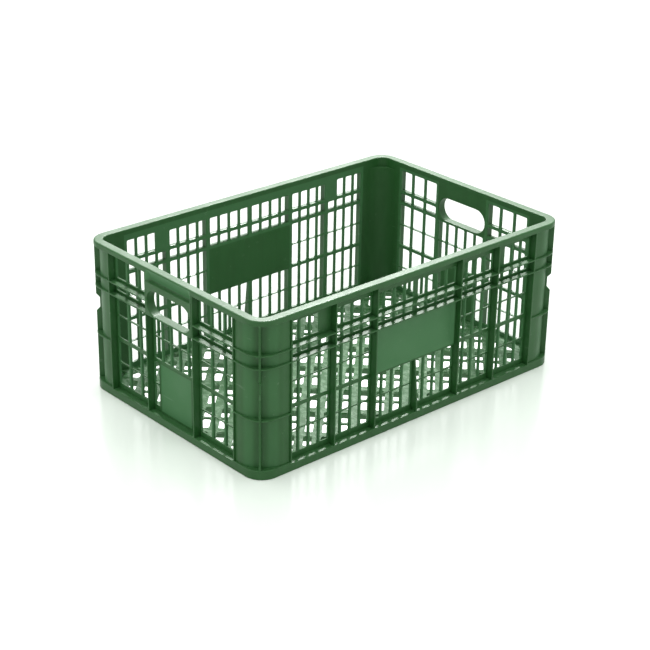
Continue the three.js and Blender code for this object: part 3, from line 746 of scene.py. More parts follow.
def finish_wall(side, name, shell, parts, **finishes):
    """One wall's piece, which stands for that wall's nodes."""
    finish_piece(side + "_" + name, shell, [side + "_" + part for part in parts], **finishes)


print("walls:", ", ".join(SIDES))

# %% [markdown]
# The wall behind the ribs is a thin lattice, pierced by 126 upright vents on each long side.
# They stand in six rows: a row of slits between the two flanges, a short row above them, and
# four tall ones below. A pierced slab draws it in one go. The vents' corners are round, because
# a milling cutter can't leave them square.

# %% Rows of vents
FLANGE_THICKNESS = 2.0
FLANGE_TOPS = (169.5, 189.0)
THIN_BAR = 2.0
WAIST_BAR = 6.0
TALL_ROW = 34.25
BOTTOM_ROW_START = 20.5


def row_from(bottom):
    return bottom, bottom + TALL_ROW


BOTTOM_ROW = row_from(BOTTOM_ROW_START)
LOWER_ROW = row_from(BOTTOM_ROW[1] + THIN_BAR)
MIDDLE_ROW = row_from(LOWER_ROW[1] + WAIST_BAR)
UPPER_ROW = row_from(MIDDLE_ROW[1] + THIN_BAR)
SLIT_ROW = (FLANGE_TOPS[0] + 3.5, FLANGE_TOPS[1] - FLANGE_THICKNESS)
TOP_ROW_BOTTOM = FLANGE_TOPS[1] + 4.0
TOP_ROW_INNER = (TOP_ROW_BOTTOM, RIM_BOTTOM - 13.0)
TOP_ROW_OUTER = (TOP_ROW_BOTTOM, RIM_BOTTOM - 10.0)
TOP_ROW_END = (TOP_ROW_BOTTOM, RIM_BOTTOM - 5.0)
FULL_ROWS = (SLIT_ROW, UPPER_ROW, MIDDLE_ROW, LOWER_ROW, BOTTOM_ROW)
print("rows:", [tuple(round(z, 2) for z in row) for row in FULL_ROWS])

# %% [markdown]
# Vents stand in columns of equal width between the ribs, worked out from the space that a bay
# leaves, the number of columns and the bar between them. The upright bars are rounded in front
# and stand a little proud of the level ones, which lets the steel slide out between them. Each
# sill falls a little inwards for the same reason, so its top stays dark from outside.

# %% Columns of vents
VENT_CORNER = 2.0
VENT_SOFTNESS = 0.35
LAND = 3.75
LONG_BAR = 4.0
END_BAR = 4.5
COLUMNS_IN_BAY = 4
WIDEST_BAR = 5.0
BAR_PROUD = 0.6
BAR_ROOT = 0.5
SILL_DROP = 0.6
# Half of a round bar's front, as shares of its half width and of how far it stands proud.
BAR_CURVE = ((1.0, 0.0), (0.75, 0.7), (0.3, 1.0))


def columns_between(left, right, count, bar):
    """The left and right edges of equal columns, with a land at each end."""
    width = (right - left - 2 * LAND - (count - 1) * bar) / count
    starts = [left + LAND + i * (width + bar) for i in range(count)]
    return [(start, start + width) for start in starts]


def mirrored(columns):
    return [(-right, -left) for left, right in columns]


def vents(columns, rows):
    """Rounded vents with soft rims, one for each column and row."""
    return [
        (rounded(rectangle(left, right, bottom, top), VENT_CORNER, steps=3), VENT_SOFTNESS)
        for left, right in columns for bottom, top in rows
    ]


def add_round_bars(shell, columns, rows, place):
    """The rounded fronts of the upright bars, between neighbouring vents."""
    edges = sorted(columns)
    for (_, left), (right, _) in zip(edges, edges[1:]):
        if right - left > WIDEST_BAR:
            continue
        half = (right - left) / 2 - VENT_SOFTNESS
        middle = (left + right) / 2
        left_half = [(-half, LATTICE_DEPTH + BAR_ROOT)]
        left_half += [(-a * half, LATTICE_DEPTH - b * BAR_PROUD) for a, b in BAR_CURVE]
        section = left_half + [(-a, depth) for a, depth in left_half[::-1]]
        for row in rows:
            add_bar(shell, section, row, lambda a, d, z: place(middle + a, d, z), second=True)


def add_lattice(shell, outline, bays, place, other_holes=()):
    """A pierced slab with its round bars. Each bay is (columns, rows)."""
    holes = [vent for columns, rows in bays for vent in vents(columns, rows)]
    holes += other_holes
    # The far side, the jambs and the round bars take the second finish: painted highlight, lighter.
    add_pierced_slab(shell, outline, holes, LATTICE_DEPTH, WALL_DEPTH, on_face(place), SILL_DROP, True)
    for columns, rows in bays:
        add_round_bars(shell, columns, rows, place)


centre_columns = columns_between(0, INNER_RIB, COLUMNS_IN_BAY, LONG_BAR)
inner_columns = columns_between(INNER_RIB, OUTER_RIB, COLUMNS_IN_BAY, LONG_BAR)
outer_columns = columns_between(OUTER_RIB, LONG_POST_EDGE, COLUMNS_IN_BAY, LONG_BAR)
LONG_BAYS = [(columns + mirrored(columns), rows) for columns, rows in (
    (centre_columns, (TOP_ROW_INNER, SLIT_ROW, LOWER_ROW, BOTTOM_ROW)),
    (inner_columns, (TOP_ROW_INNER,) + FULL_ROWS),
    (outer_columns[1:], (TOP_ROW_OUTER,)),
    (outer_columns, FULL_ROWS),
)]
print("a long wall has", sum(len(columns) * len(rows) for columns, rows in LONG_BAYS), "vents")

# %% [markdown]
# A long wall's lattice is one slab from post to post. The space between the two inner ribs has
# no tall vents in its upper half, because a label plate goes there: the slab is open for it,
# and that hole keeps hard rims, since the plate fills it flush.

# %% Long wall lattices
SEAM = 1.5
LONG_PARTS = ("outer_bay_left", "inner_bay_left", "centre_bay", "inner_bay_right", "outer_bay_right")
label_low, label_high = node_box("front_label_field")
LABEL_HALF = label_high.x
LABEL_BOTTOM = label_low.z
LABEL_TOP = label_high.z
LONG_REACH = LONG_POST_EDGE + SEAM
label_hole = (rectangle(-LABEL_HALF, LABEL_HALF, LABEL_BOTTOM, LABEL_TOP), 0)

for side, shell, place in walls(LONG_SIDES):
    outline = rectangle(-LONG_REACH, LONG_REACH, FOOT_HEIGHT, RIM_BOTTOM)
    add_lattice(shell, outline, LONG_BAYS, place, [label_hole])
    finish_wall(side, "wall_lattice", shell, LONG_PARTS, second=LATTICE_PAINTED_LIGHT)

# %% [markdown]
# An end wall has a hand hole, so its lattice is in parts: two side bays of three columns, a
# grille of five under the grip, and a cheek with two slots on each side of the label plate.
# They meet edge to edge behind the ribs, in the same planes, so no seam can be seen.

# %% End wall lattices
GRILLE_TOP_LAND = 1.5
CHEEK_LAND = 1.5
SIDE_COLUMNS = 3
GRILLE_COLUMNS = 5
END_PARTS = (
    "side_bay_left", "side_bay_right", "handle_grille", "slotted_cheek_left", "slotted_cheek_right",
)
grip_low, grip_high = node_box("right_handle_surround")
end_label_high = node_box("right_label_field")[1]
GRIP_HALF = grip_high.y
GRIP_BOTTOM = grip_low.z
END_LABEL_HALF = end_label_high.y
END_LABEL_TOP = end_label_high.z
END_REACH = END_POST_EDGE + SEAM
end_columns = columns_between(END_RIB, END_POST_EDGE, SIDE_COLUMNS, END_BAR)
cheek_columns = [(END_LABEL_HALF + CHEEK_LAND, GRIP_HALF - CHEEK_LAND)]
grille_columns = columns_between(-GRIP_HALF, GRIP_HALF, GRILLE_COLUMNS, LONG_BAR)
grille_rows = ((UPPER_ROW[0], GRIP_BOTTOM - GRILLE_TOP_LAND), MIDDLE_ROW)
# A half wall's two bays: its outer and inner edge, its top, its columns and its rows.
HALF_BAYS = (
    ((GRIP_HALF, END_REACH), RIM_BOTTOM, end_columns, (TOP_ROW_END,) + FULL_ROWS),
    ((END_LABEL_HALF, GRIP_HALF), END_LABEL_TOP, cheek_columns, (LOWER_ROW, BOTTOM_ROW)),
)

for side, shell, place in walls(END_SIDES):
    for sign in (-1, 1):
        for edges, top, columns, rows in HALF_BAYS:
            outline = rectangle(*sorted(sign * edge for edge in edges), FOOT_HEIGHT, top)
            add_lattice(shell, outline, [(columns if sign > 0 else mirrored(columns), rows)], place)
    grille = rectangle(-GRIP_HALF, GRIP_HALF, END_LABEL_TOP, GRIP_BOTTOM)
    add_lattice(shell, grille, [(grille_columns, grille_rows)], place)
    finish_wall(side, "wall_lattice", shell, END_PARTS, second=LATTICE_PAINTED_LIGHT)

# %% [markdown]
# Upright ribs carry the load of the crates stacked above. On the moulding they run from the
# foot into the hollow of the rim and taper a little towards the outside, so that the steel can
# pull away from them. A bar with a tapered section, rounded on its outer edge, does it. It
# starts a hair behind the envelope, which lets the flanges pass over it as they really do.

# %% Upright ribs
RIB_SETBACK = 0.2
RIB_TAPER = 0.25
RIB_ROUND = 0.6
SUNK = 0.6
RIM_UNDERSIDE = HEIGHT - 3.5
FOOT_LEDGE = FOOT_HEIGHT - 2.5
RIB_SPAN = (FOOT_HEIGHT - SUNK, RIM_UNDERSIDE + SUNK)
RIBS = {LONG_SIDES: (-OUTER_RIB, -INNER_RIB, INNER_RIB, OUTER_RIB), END_SIDES: (-END_RIB, END_RIB)}


def rib_section(along, inner):
    """A tapered section of (along, depth) points, rounded at its outer end."""
    tip = RIB_HALF - RIB_TAPER
    corners = [(along - tip, RIB_SETBACK), (along + tip, RIB_SETBACK),
               (along + RIB_HALF, inner), (along - RIB_HALF, inner)]
    return rounded(corners, [RIB_ROUND, RIB_ROUND, 0, 0])


for sides, alongs in RIBS.items():
    for side, shell, place in walls(sides):
        for along in alongs:
            add_bar(shell, rib_section(along, LATTICE_DEPTH + SUNK), RIB_SPAN, place)
        parts = ["upright_rib_" + str(i + 1) for i in range(len(alongs))]
        finish_wall(side, "upright_ribs", shell, parts)

# %% [markdown]
# Over each hand hole a hollow runs from a lip up to the top of the rim, so that fingers can
# reach under it. It is frosted, so that they don't slip, and painted lighter: a painted
# reflection of the white floor in its overhang. The rim and the grip share this hollow, so its
# depth is worked out once, for any place along the wall and any height.

# %% Finger hollow
# The lip's section, as heights and depths.
HOLLOW_LIP = ((218.4, 0.0), (218.9, 0.3), (219.2, 1.0), (219.5, 2.6), (219.9, 4.4),
              (220.6, 5.8), (221.6, 6.4))
HOLLOW_BOTTOM, HOLLOW_DEPTH = HOLLOW_LIP[-1]
HOLLOW_TOP = HEIGHT - 2.0
HOLLOW_END = 9.0
HOLLOW_STEPS = 5
HOLLOW_CURVE = 1.5
hollow_blend = [-GRIP_HALF + HOLLOW_END * step / HOLLOW_STEPS for step in range(HOLLOW_STEPS + 1)]
HOLLOW_STATIONS = hollow_blend + [-along for along in hollow_blend[::-1]]


def share_of(value):
    return min(max(value, 0.0), 1.0)


def hollow_depth(along, z):
    """How deep the hollow is above its lip."""
    share = share_of((GRIP_HALF - abs(along)) / HOLLOW_END)
    eased = share * share * (3 - 2 * share)
    rise = share_of((z - HOLLOW_BOTTOM) / (HOLLOW_TOP - HOLLOW_BOTTOM))
    return eased * HOLLOW_DEPTH * (1 - rise ** HOLLOW_CURVE)


print("hollow at the rim's lower edge", round(hollow_depth(0, RIM_BOTTOM), 2), "mm deep")

# %% [markdown]
# The rim is a channel that opens downwards, rounded on top. It goes all the way round without
# a joint, so it is one section carried along a closed path. A point of the section that lies
# deeper inside the envelope turns each corner on a smaller radius. On the end walls the path
# has more stations, where the outer skirt gives way to the finger hollow.

# %% Rim
RIM_SKIRT = 3.0
CORNER_RADIUS = 30.0
CORNER_STEPS = 14
CORNER_SIGNS = ((1, 1), (-1, 1), (-1, -1), (1, -1))
QUARTER_TURN = math.pi / 2
HOLLOW_EDGE = 1.5
# The radii of the section's corners, in their own order.
RIM_ROUNDS = [0.5, 0.5, 1.0, 1.0, 0, 0, 1.5, 2.5]


def channel(skirt, web, mouth, ledge, top):
    """A channel's section of (depth, height) points, open at its mouth."""
    return [(0, mouth), (skirt, mouth), (skirt, ledge), (web, ledge),
            (web, mouth), (WALL_DEPTH, mouth), (WALL_DEPTH, top), (0, top)]


def hollowed(depth, z, along):
    """The depth of one of the rim's points where the hollow passes it."""
    hollow = hollow_depth(along, z)
    if depth > RIM_SKIRT:
        return depth
    if depth > RIM_SKIRT / 2 or z > HOLLOW_TOP:
        return depth + hollow
    return max(depth * (1 - hollow / HOLLOW_DEPTH), hollow)


def level_loop(depth, z):
    """A closed level path at a depth inside the envelope."""
    points = []
    for quarter, (sign_x, sign_y) in enumerate(CORNER_SIGNS):
        centre = (sign_x * (HALF_LENGTH - CORNER_RADIUS), sign_y * (HALF_WIDTH - CORNER_RADIUS))
        points += arc(centre, CORNER_RADIUS - depth, quarter * QUARTER_TURN, QUARTER_TURN, CORNER_STEPS)
        if sign_x * sign_y < 0:
            points += [(sign_x * (HALF_LENGTH - hollowed(depth, z, along)), -sign_y * along)
                       for along in HOLLOW_STATIONS]
    return [(x, y, z) for x, y in points]


def in_hollow(x, y, z):
    """Whether a point, in metres, lies on the rim's outer side over a hand hole."""
    depth = HALF_LENGTH - abs(x) * TO_MM
    beside = GRIP_HALF - HOLLOW_EDGE - abs(y) * TO_MM
    return beside > 0 and depth < RIM_SKIRT + HOLLOW_EDGE and z * TO_MM < HOLLOW_TOP


rim_corners = channel(RIM_SKIRT, LATTICE_DEPTH, RIM_BOTTOM, RIM_UNDERSIDE, HEIGHT)
rim_section = rounded(rim_corners, RIM_ROUNDS, steps=5)
rim_shell = Shell()
add_rings(rim_shell, list(zip(*(level_loop(depth, z) for depth, z in rim_section))), closed=True)
# The faces over a hand hole take the frosted finish, with its painted reflection.
for number, face in enumerate(rim_shell.faces):
    middle = sum((Vector(rim_shell.points[index]) for index in face), Vector()) / len(face)
    rim_shell.finishes[number] = int(in_hollow(*middle))
finish_piece("rim", rim_shell, [side + "_rim_rail" for side in SIDES])

# %% [markdown]
# Two thin flanges run round the walls under the rim and stiffen them. Between the posts they
# are straight bars that sit on the lattice. On an end wall they stop at the ribs beside the hand
# hole. Their corners belong to the posts, which come later.

# %% Wall flanges
FLANGE_ROUND = 0.45
BESIDE_GRIP = GRIP_HALF + SUNK
# For each pair of walls, the flanges' spans and the nodes that they belong to.
FLANGES = {
    LONG_SIDES: ([(-LONG_REACH, LONG_REACH)], ["centre_bay"]),
    END_SIDES: (
        [(-END_REACH, -BESIDE_GRIP), (BESIDE_GRIP, END_REACH)],
        ["side_bay_left", "side_bay_right"],
    ),
}


def flange_section(top, inner):
    """A section of (depth, height) points, rounded on its outer edge."""
    corners = rectangle(0, inner, top - FLANGE_THICKNESS, top)
    return rounded(corners, [FLANGE_ROUND, 0, 0, FLANGE_ROUND])


for sides, (spans, parts) in FLANGES.items():
    for side, shell, place in walls(sides):
        for span in spans:
            for top in FLANGE_TOPS:
                add_bar(shell, flange_section(top, LATTICE_DEPTH + SUNK), span, in_section(place))
        finish_wall(side, "flanges", shell, parts)

# %% [markdown]
# The foot rail is a channel that opens downwards, as the rim is: a skirt, a flat top and an
# inner web that the floor hangs on. It runs between the posts as a straight bar.

# %% Foot rails
FOOT_SKIN = 3.0
FOOT_ROUND = 0.8
foot_corners = channel(FOOT_SKIN, WALL_DEPTH - FOOT_SKIN, 0, FOOT_LEDGE, FOOT_HEIGHT)
foot_section = rounded(foot_corners, [FOOT_ROUND, 0.5, 0.5, 0.5, 0.5, 0, 0, FOOT_ROUND], steps=3)

for sides, reach in ((LONG_SIDES, LONG_POST_EDGE), (END_SIDES, END_POST_EDGE)):
    for side, shell, place in walls(sides):
        add_bar(shell, foot_section, [-reach, reach], in_section(place))
        finish_wall(side, "foot_rail", shell, ["foot_rail"])

# %% [markdown]
# Each wall has a bare plate for a label, sunk into a frame. On the long walls the frame slopes
# down to the plate at the sides and the bottom, and a gusset under it carries the frame's weight
# down to the foot. The plate is a slab whose front is made of a few rings.

# %% Label plates
PLATE_DEPTH = LATTICE_DEPTH + 1.0
FRAME_EDGE = 3.0
FRAME_ROUND = 0.5
LONG_FRAME_DEPTH = LATTICE_DEPTH - 3.0
LONG_SLOPE = 8.5
END_SLOPE = 1.0
# Half the length, the bottom, the top, the rail over the pocket, the frame's depth, the slope.
LABELS = {
    LONG_SIDES: (LABEL_HALF, LABEL_BOTTOM, LABEL_TOP, 0, LONG_FRAME_DEPTH, LONG_SLOPE),
    END_SIDES: (END_LABEL_HALF, FOOT_HEIGHT, END_LABEL_TOP, FRAME_EDGE, LATTICE_DEPTH, END_SLOPE),
}


def add_label_plate(shell, place, half, bottom, top, rail, frame_depth, slope):
    """A plate in a sloped frame. With no rail the pocket runs out at the top."""
    def ring(inset, drop, depth):
        corners = rectangle(-half + inset, half - inset, bottom + inset, top - drop)
        return [place(a, depth, z) for a, z in corners]

    rings = [
        ring(0, 0, WALL_DEPTH),
        ring(0, 0, frame_depth + FRAME_ROUND),
        ring(FRAME_ROUND, FRAME_ROUND if rail else 0, frame_depth),
        ring(FRAME_EDGE, rail, frame_depth),
        ring(FRAME_EDGE + slope, rail, PLATE_DEPTH),
    ]
    # The slope and the plate take the frosted finish, painted lighter.
    for outer, inner in zip(rings, rings[1:]):
        for i in range(4):
            shell.face([outer[i - 1], outer[i], inner[i], inner[i - 1]], inner is rings[-1])
    shell.face(rings[-1], second=True)
    shell.face(rings[0][::-1])


for sides, sizes in LABELS.items():
    for side, shell, place in walls(sides):
        add_label_plate(shell, place, *sizes)
        finish_wall(side, "label_plate", shell, ["label_field"])

# %% [markdown]
# The gusset is a flat web that deepens towards the foot, so it is drawn from the side and given
# almost the thickness of a rib.

# %% Label gussets
GUSSET_TOP_DEPTH = LONG_FRAME_DEPTH - 1.0
GUSSET_SHOULDER = 30.0
GUSSET_ROUND = 2.0
GUSSET_HALF = RIB_HALF - 0.2
gusset_top, gusset_back = LABEL_BOTTOM + SUNK, LATTICE_DEPTH + SUNK
gusset_corners = [
    (GUSSET_TOP_DEPTH, gusset_top), (RIB_SETBACK, GUSSET_SHOULDER), (RIB_SETBACK, FOOT_LEDGE),
    (gusset_back, FOOT_LEDGE), (gusset_back, gusset_top),
]
gusset_section = rounded(gusset_corners, [0, GUSSET_ROUND, 0, 0, 0])

for side, shell, place in walls(LONG_SIDES):
    add_bar(shell, gusset_section, [-GUSSET_HALF, GUSSET_HALF], in_section(place))
    finish_wall(side, "label_gusset", shell, ["label_gusset"])

# %% [markdown]
# A hand hole is cut through a block as deep as the wall, with round ends. The front and the
# back are flat faces with the same hole, and its rims are rounded, as a hand needs. Above the
# front face the block's section follows the finger hollow, at each of the hollow's stations.

# %% Hand grips
GRIP_TOP = 209.0
GRIP_SILL = FLANGE_TOPS[0]
GRIP_END_WALL = 1.75
GRIP_RIM = 1.2
GRIP_STEPS = 12
RIM_TURNS = [math.radians(angle) for angle in (0, 30, 60, 90)]
HOLLOW_RISES = 5
HOLLOW_SIDES = range(len(HOLLOW_LIP) + 1, len(HOLLOW_LIP) + 1 + HOLLOW_RISES)


def grip_hole():
    """The outline of the hand hole, anticlockwise."""
    radius = (GRIP_TOP - GRIP_SILL) / 2
    reach = GRIP_HALF - GRIP_END_WALL - radius
    ends = ((reach, -QUARTER_TURN), (-reach, QUARTER_TURN))
    return [point for along, start in ends
            for point in arc((along, GRIP_SILL + radius), radius, start, math.pi, GRIP_STEPS)]


def grip_profile(along):
    """The block's section, as (depth, height), from the front face up and round."""
    share = hollow_depth(along, HOLLOW_BOTTOM) / HOLLOW_DEPTH
    outside = [(0, GRIP_BOTTOM)] + [(share * depth, z) for z, depth in HOLLOW_LIP]
    for step in range(1, HOLLOW_RISES + 1):
        z = HOLLOW_BOTTOM + (RIM_BOTTOM - HOLLOW_BOTTOM) * step / HOLLOW_RISES
        outside.append((hollow_depth(along, z), z))
    return outside + [(WALL_DEPTH, RIM_BOTTOM), (WALL_DEPTH, GRIP_BOTTOM)]


def add_grip(shell, place):
    margins = [GRIP_RIM * (1 - math.sin(turn)) for turn in RIM_TURNS]
    depths = [GRIP_RIM * (1 - math.cos(turn)) for turn in RIM_TURNS]
    depths += [WALL_DEPTH - depth for depth in depths[::-1]]
    outlines = [grown(grip_hole(), margin) for margin in margins + margins[::-1]]
    add_sides(shell, outlines, depths, on_face(place))
    for depth, top, mouth in (
            (0, HOLLOW_LIP[0][0], outlines[0]), (WALL_DEPTH, RIM_BOTTOM, outlines[-1])):
        border = [(along, GRIP_BOTTOM) for along in HOLLOW_STATIONS]
        border += [(along, top) for along in HOLLOW_STATIONS[::-1]]
        flat = border + mouth
        for face in faces_round([border, mouth]):
            shell.face([place(flat[i][0], depth, flat[i][1]) for i in face])
    rings = [[place(along, d, z) for d, z in grip_profile(along)] for along in HOLLOW_STATIONS]
    shell.face(rings[0])
    shell.face(rings[-1])
    flat_faces = (1, len(rings[0]) - 1)
    # The hollow's faces take the frosted finish, with its painted reflection.
    for near, far in zip(rings, rings[1:]):
        for i in range(len(near)):
            if i not in flat_faces:
                shell.face([near[i - 1], near[i], far[i], far[i - 1]], i in HOLLOW_SIDES)


for side, shell, place in walls(END_SIDES):
    add_grip(shell, place)
    finish_wall(side, "hand_grip", shell, ["handle_surround"])

# %% [markdown]
# A corner post is hollow. Its outer skin lies a little behind the envelope and turns on a larger
# radius than the rim, so shelves and fins stand proud of it at the corner. Its lining is flush
# with the inside of the walls. Each of these is a section carried round the corner, where a
# point's radius depends on which of three families of curves it belongs to.

# %% Paths round a corner
ENVELOPE = CORNER_RADIUS
SKIN = 44.5
LINING = 46.5
SKIN_DEPTH = 2.5
SKIN_THICKNESS = 3.0
MID_SKIN_DEPTH = 4.0


def corner_path(depth, z, family, signs, start):
    """A level path round one corner. start is how far past the posts' edges it begins."""
    radius = family - depth
    x, y = HALF_LENGTH - depth, HALF_WIDTH - depth
    points = [(LONG_POST_EDGE + start, y), (HALF_LENGTH - LINING, y)]
    points += arc((x - radius, y - radius), radius, QUARTER_TURN, -QUARTER_TURN, CORNER_STEPS)
    points += [(x, HALF_WIDTH - LINING), (x, END_POST_EDGE + start)]
    return [(signs[0] * px, signs[1] * py, z) for px, py in points]


def add_bend(shell, section, signs, start=SEAM, second=False):
    """A section of (depth, height, family) points carried round one corner."""
    paths = [corner_path(depth, z, family, signs, start) for depth, z, family in section]
    add_rings(shell, list(zip(*paths)), second=second)


print("skin radius", SKIN - SKIN_DEPTH, "lining radius", LINING - WALL_DEPTH)

# %% [markdown]
# The post's body is the skin and the lining. The lining rises from the ground to a small ledge
# under the rim, steps out over it and goes on up as the rim's inner skirt.

# %% Post bodies
POST_LEDGE = RIM_BOTTOM - 8.0
LINING_THICKNESS = 3.0
POST_FOOT_HEIGHT = FOOT_HEIGHT + 2.0


def add_post_body(shell, signs):
    skin = rectangle(SKIN_DEPTH, SKIN_DEPTH + SKIN_THICKNESS, FOOT_HEIGHT, RIB_SPAN[1])
    # The skin takes the post finish, with its painted highlight bands.
    add_bend(shell, [(depth, z, SKIN) for depth, z in skin], signs, second=True)
    outer_lining = WALL_DEPTH - LINING_THICKNESS
    ledge_bottom = POST_LEDGE - LINING_THICKNESS
    add_bend(shell, [
        (WALL_DEPTH, 0, LINING), (WALL_DEPTH, POST_LEDGE, LINING), (WALL_DEPTH, POST_LEDGE, ENVELOPE),
        (WALL_DEPTH, RIM_BOTTOM, ENVELOPE), (LATTICE_DEPTH, RIM_BOTTOM, ENVELOPE),
        (LATTICE_DEPTH, ledge_bottom, ENVELOPE), (outer_lining, ledge_bottom, LINING),
        (outer_lining, 0, LINING),
    ], signs)


print("ledge at", POST_LEDGE, "mm")

# %% [markdown]
# Three shelves and a foot band cross each post at the envelope. The upper two carry the walls'
# flanges round the corner, with the same edge, so that each flange reads as one line.

# %% Post shelves
POST_SHELF_TOP = LOWER_ROW[1] + 0.5
FOOT_SHELF = 2.5
SHELF_EDGE = 1.0


def add_post_shelves(shell, signs):
    for top in (POST_SHELF_TOP,) + FLANGE_TOPS:
        edge = flange_section(top, MID_SKIN_DEPTH)
        section = [(d, z, SKIN if d > SHELF_EDGE else ENVELOPE) for d, z in edge]
        add_bend(shell, section, signs)
    shelf_bottom = POST_FOOT_HEIGHT - FOOT_SHELF
    corners = [(0, 0), (FOOT_SKIN, 0), (FOOT_SKIN, shelf_bottom), (MID_SKIN_DEPTH, shelf_bottom),
               (MID_SKIN_DEPTH, POST_FOOT_HEIGHT), (0, POST_FOOT_HEIGHT)]
    band = rounded(corners, [FOOT_ROUND, 0.5, 0, 0, 0, FOOT_ROUND], steps=3)
    section = [(d, z, SKIN if d > FOOT_SKIN else ENVELOPE) for d, z in band]
    add_bend(shell, section, signs, start=0)


print("shelves at", [POST_SHELF_TOP, *FLANGE_TOPS], "mm")

# %% [markdown]
# Two fins close the sides of a post, almost as deep as the wall, and a third stands on the
# corner's diagonal. The third has a notch, which a lid or a strap can catch. It is drawn from the side
# and given its thickness.

# %% Post fins
NOTCH_TOP = FLANGE_TOPS[0] - 18.5
NOTCH_BOTTOM = NOTCH_TOP - 28.0
NOTCH_DEPTH = 5.5
NOTCH_SLOPE = 6.0
FIN_ROUND = 0.9
FIN_INNER_DEPTH = 13.0
DIAGONAL = math.sqrt(0.5)


def add_post_fins(shell, signs):
    sign_x, sign_y = signs
    for edge, place in (
            (LONG_POST_EDGE, lambda a, d, z: (sign_x * a, sign_y * (HALF_WIDTH - d), z)),
            (END_POST_EDGE, lambda a, d, z: (sign_x * (HALF_LENGTH - d), sign_y * a, z))):
        add_bar(shell, rib_section(edge + RIB_HALF, FIN_INNER_DEPTH), RIB_SPAN, place)
    outer = CORNER_RADIUS - RIB_SETBACK
    skin_radius = math.sqrt(2) * (CORNER_RADIUS - SKIN) + SKIN - SKIN_DEPTH
    root = skin_radius - SKIN_THICKNESS / 2
    bottom, top = POST_FOOT_HEIGHT - SUNK, RIB_SPAN[1]
    profile = rounded([
        (root, bottom), (outer, bottom), (outer, NOTCH_BOTTOM),
        (outer - NOTCH_DEPTH, NOTCH_BOTTOM + NOTCH_SLOPE), (outer - NOTCH_DEPTH, NOTCH_TOP - NOTCH_SLOPE),
        (outer, NOTCH_TOP), (outer, top), (root, top),
    ], [0, 0, FIN_ROUND, FIN_ROUND, FIN_ROUND, FIN_ROUND, 0, 0])

    def on_diagonal(radius, z, across):
        x = HALF_LENGTH - CORNER_RADIUS + (radius - across) * DIAGONAL
        y = HALF_WIDTH - CORNER_RADIUS + (radius + across) * DIAGONAL
        return sign_x * x, sign_y * y, z

    add_bar(shell, profile, [-RIB_HALF, RIB_HALF], on_diagonal)


for sign_x, end_name in ((-1, "left"), (1, "right")):
    for sign_y, long_name in ((-1, "front"), (1, "back")):
        shell = Shell()
        for add_part in (add_post_body, add_post_shelves, add_post_fins):
            add_part(shell, (sign_x, sign_y))
        name = long_name + "_" + end_name + "_corner_post"
        finish_piece(name + "_body", shell, [name], second=POST_PAINTED_LIGHT_BANDS)

# %% [markdown]
# The floor is a diagonal grid. Wide webs run one way and bars the other, and under every third
# web and every second bar stands a deep rib that reaches the ground. The bars over the deep ribs
# are nearly as wide as the webs, and the bars between them are thin. Each opening is a cell of
# the grid cut back to the floor's border. A cell is clipped with one line at a time.

# %% Floor cells
RIB_PITCH = 74.8
BARS_PER_RIB = 2
WEBS_PER_RIB = 3
WEB_WIDTH = 13.0
DEEP_RIB_WIDTH = 3.0
RIB_BAR_WIDTH = 12.0
MIDDLE_BAR_WIDTH = 4.5
FLOOR_BORDER = 5.0
DEEP_RIB_BORDER = 3.0
SMALLEST_CELL = 30.0
CELL_CORNER = 3.5
DEEP_CELL_CORNER = 0.9
CELL_SOFTNESS = 0.4


def kept_left(polygon, a, b):
    """The part of a polygon to the left of the line from a to b."""
    def side_of(point):
        return (b[0] - a[0]) * (point[1] - a[1]) - (b[1] - a[1]) * (point[0] - a[0])

    kept = []
    for point, after in zip(polygon, polygon[1:] + polygon[:1]):
        here, there = side_of(point), side_of(after)
        if here >= 0:
            kept.append(point)
        if here * there < 0:
            share = here / (here - there)
            kept.append(tuple(p + share * (q - p) for p, q in zip(point, after)))
    return kept


def floor_outline(margin):
    """The floor's outline at a margin inside the walls, anticlockwise."""
    points = []
    for quarter, signs in enumerate(CORNER_SIGNS):
        path = corner_path(WALL_DEPTH + margin, 0, LINING, signs, SEAM)[2:-2]
        points += [(x, y) for x, y, _ in (path if quarter % 2 else path[::-1])]
    return points


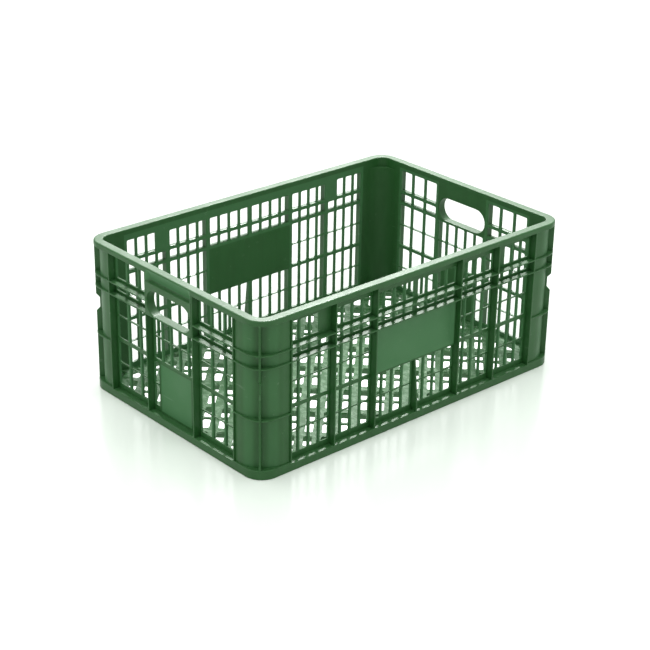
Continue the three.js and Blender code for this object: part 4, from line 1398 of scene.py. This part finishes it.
def floor_cells(margin, pitch_u, bars_u, pitch_v, bar_v, corner):
    """The openings between two sets of diagonal bars, cut back to a margin inside the walls.
    Every second bar along u has the first of the two widths."""
    border = floor_outline(margin)
    reach = math.hypot(HALF_LENGTH, HALF_WIDTH)
    count_u, count_v = math.ceil(reach / pitch_u), math.ceil(reach / pitch_v)
    cells = []
    for i in range(-count_u, count_u):
        left, right = i * pitch_u + bars_u[i % 2] / 2, (i + 1) * pitch_u - bars_u[(i + 1) % 2] / 2
        for j in range(-count_v, count_v):
            corners = rectangle(left, right, j * pitch_v + bar_v / 2, (j + 1) * pitch_v - bar_v / 2)
            cell = [((u - v) * DIAGONAL, (u + v) * DIAGONAL) for u, v in corners]
            for a, b in zip(border, border[1:] + border[:1]):
                cell = kept_left(cell, a, b)
            if len(cell) > 2 and area_of(cell) > SMALLEST_CELL:
                cells.append((rounded(cell, corner, steps=3), CELL_SOFTNESS))
    return cells


print("floor outline has", len(floor_outline(0)), "points, area", round(area_of(floor_outline(0))), "mm2")

# %% [markdown]
# With the cells known, the grid and the deep ribs are two pierced slabs, one on the other.

# %% Floor
grid_low, grid_high = node_box("floor_grid")
grid_cells = floor_cells(
    FLOOR_BORDER, RIB_PITCH / BARS_PER_RIB, (RIB_BAR_WIDTH, MIDDLE_BAR_WIDTH),
    RIB_PITCH / WEBS_PER_RIB, WEB_WIDTH, CELL_CORNER,
)
rib_cells = floor_cells(
    DEEP_RIB_BORDER, RIB_PITCH, (DEEP_RIB_WIDTH, DEEP_RIB_WIDTH),
    RIB_PITCH, DEEP_RIB_WIDTH, DEEP_CELL_CORNER,
)

# Each slab's piece, cells, bottom, top, node and finish.
for name, cells, bottom, top, node, finish in (
        ("floor_webs", grid_cells, grid_low.z, grid_high.z, "floor_grid", DULL_FLOOR_WITH_LIGHT_MOTTLES),
        ("floor_deep_ribs", rib_cells, 0, grid_low.z, "floor_ribs", SMOOTH)):
    shell = Shell()
    add_pierced_slab(shell, floor_outline(0), cells, bottom, top, lambda x, y, z: (x, y, z))
    finish_piece(name, shell, [node], finish)
print(len(grid_cells), "openings over", len(rib_cells), "deep cells")
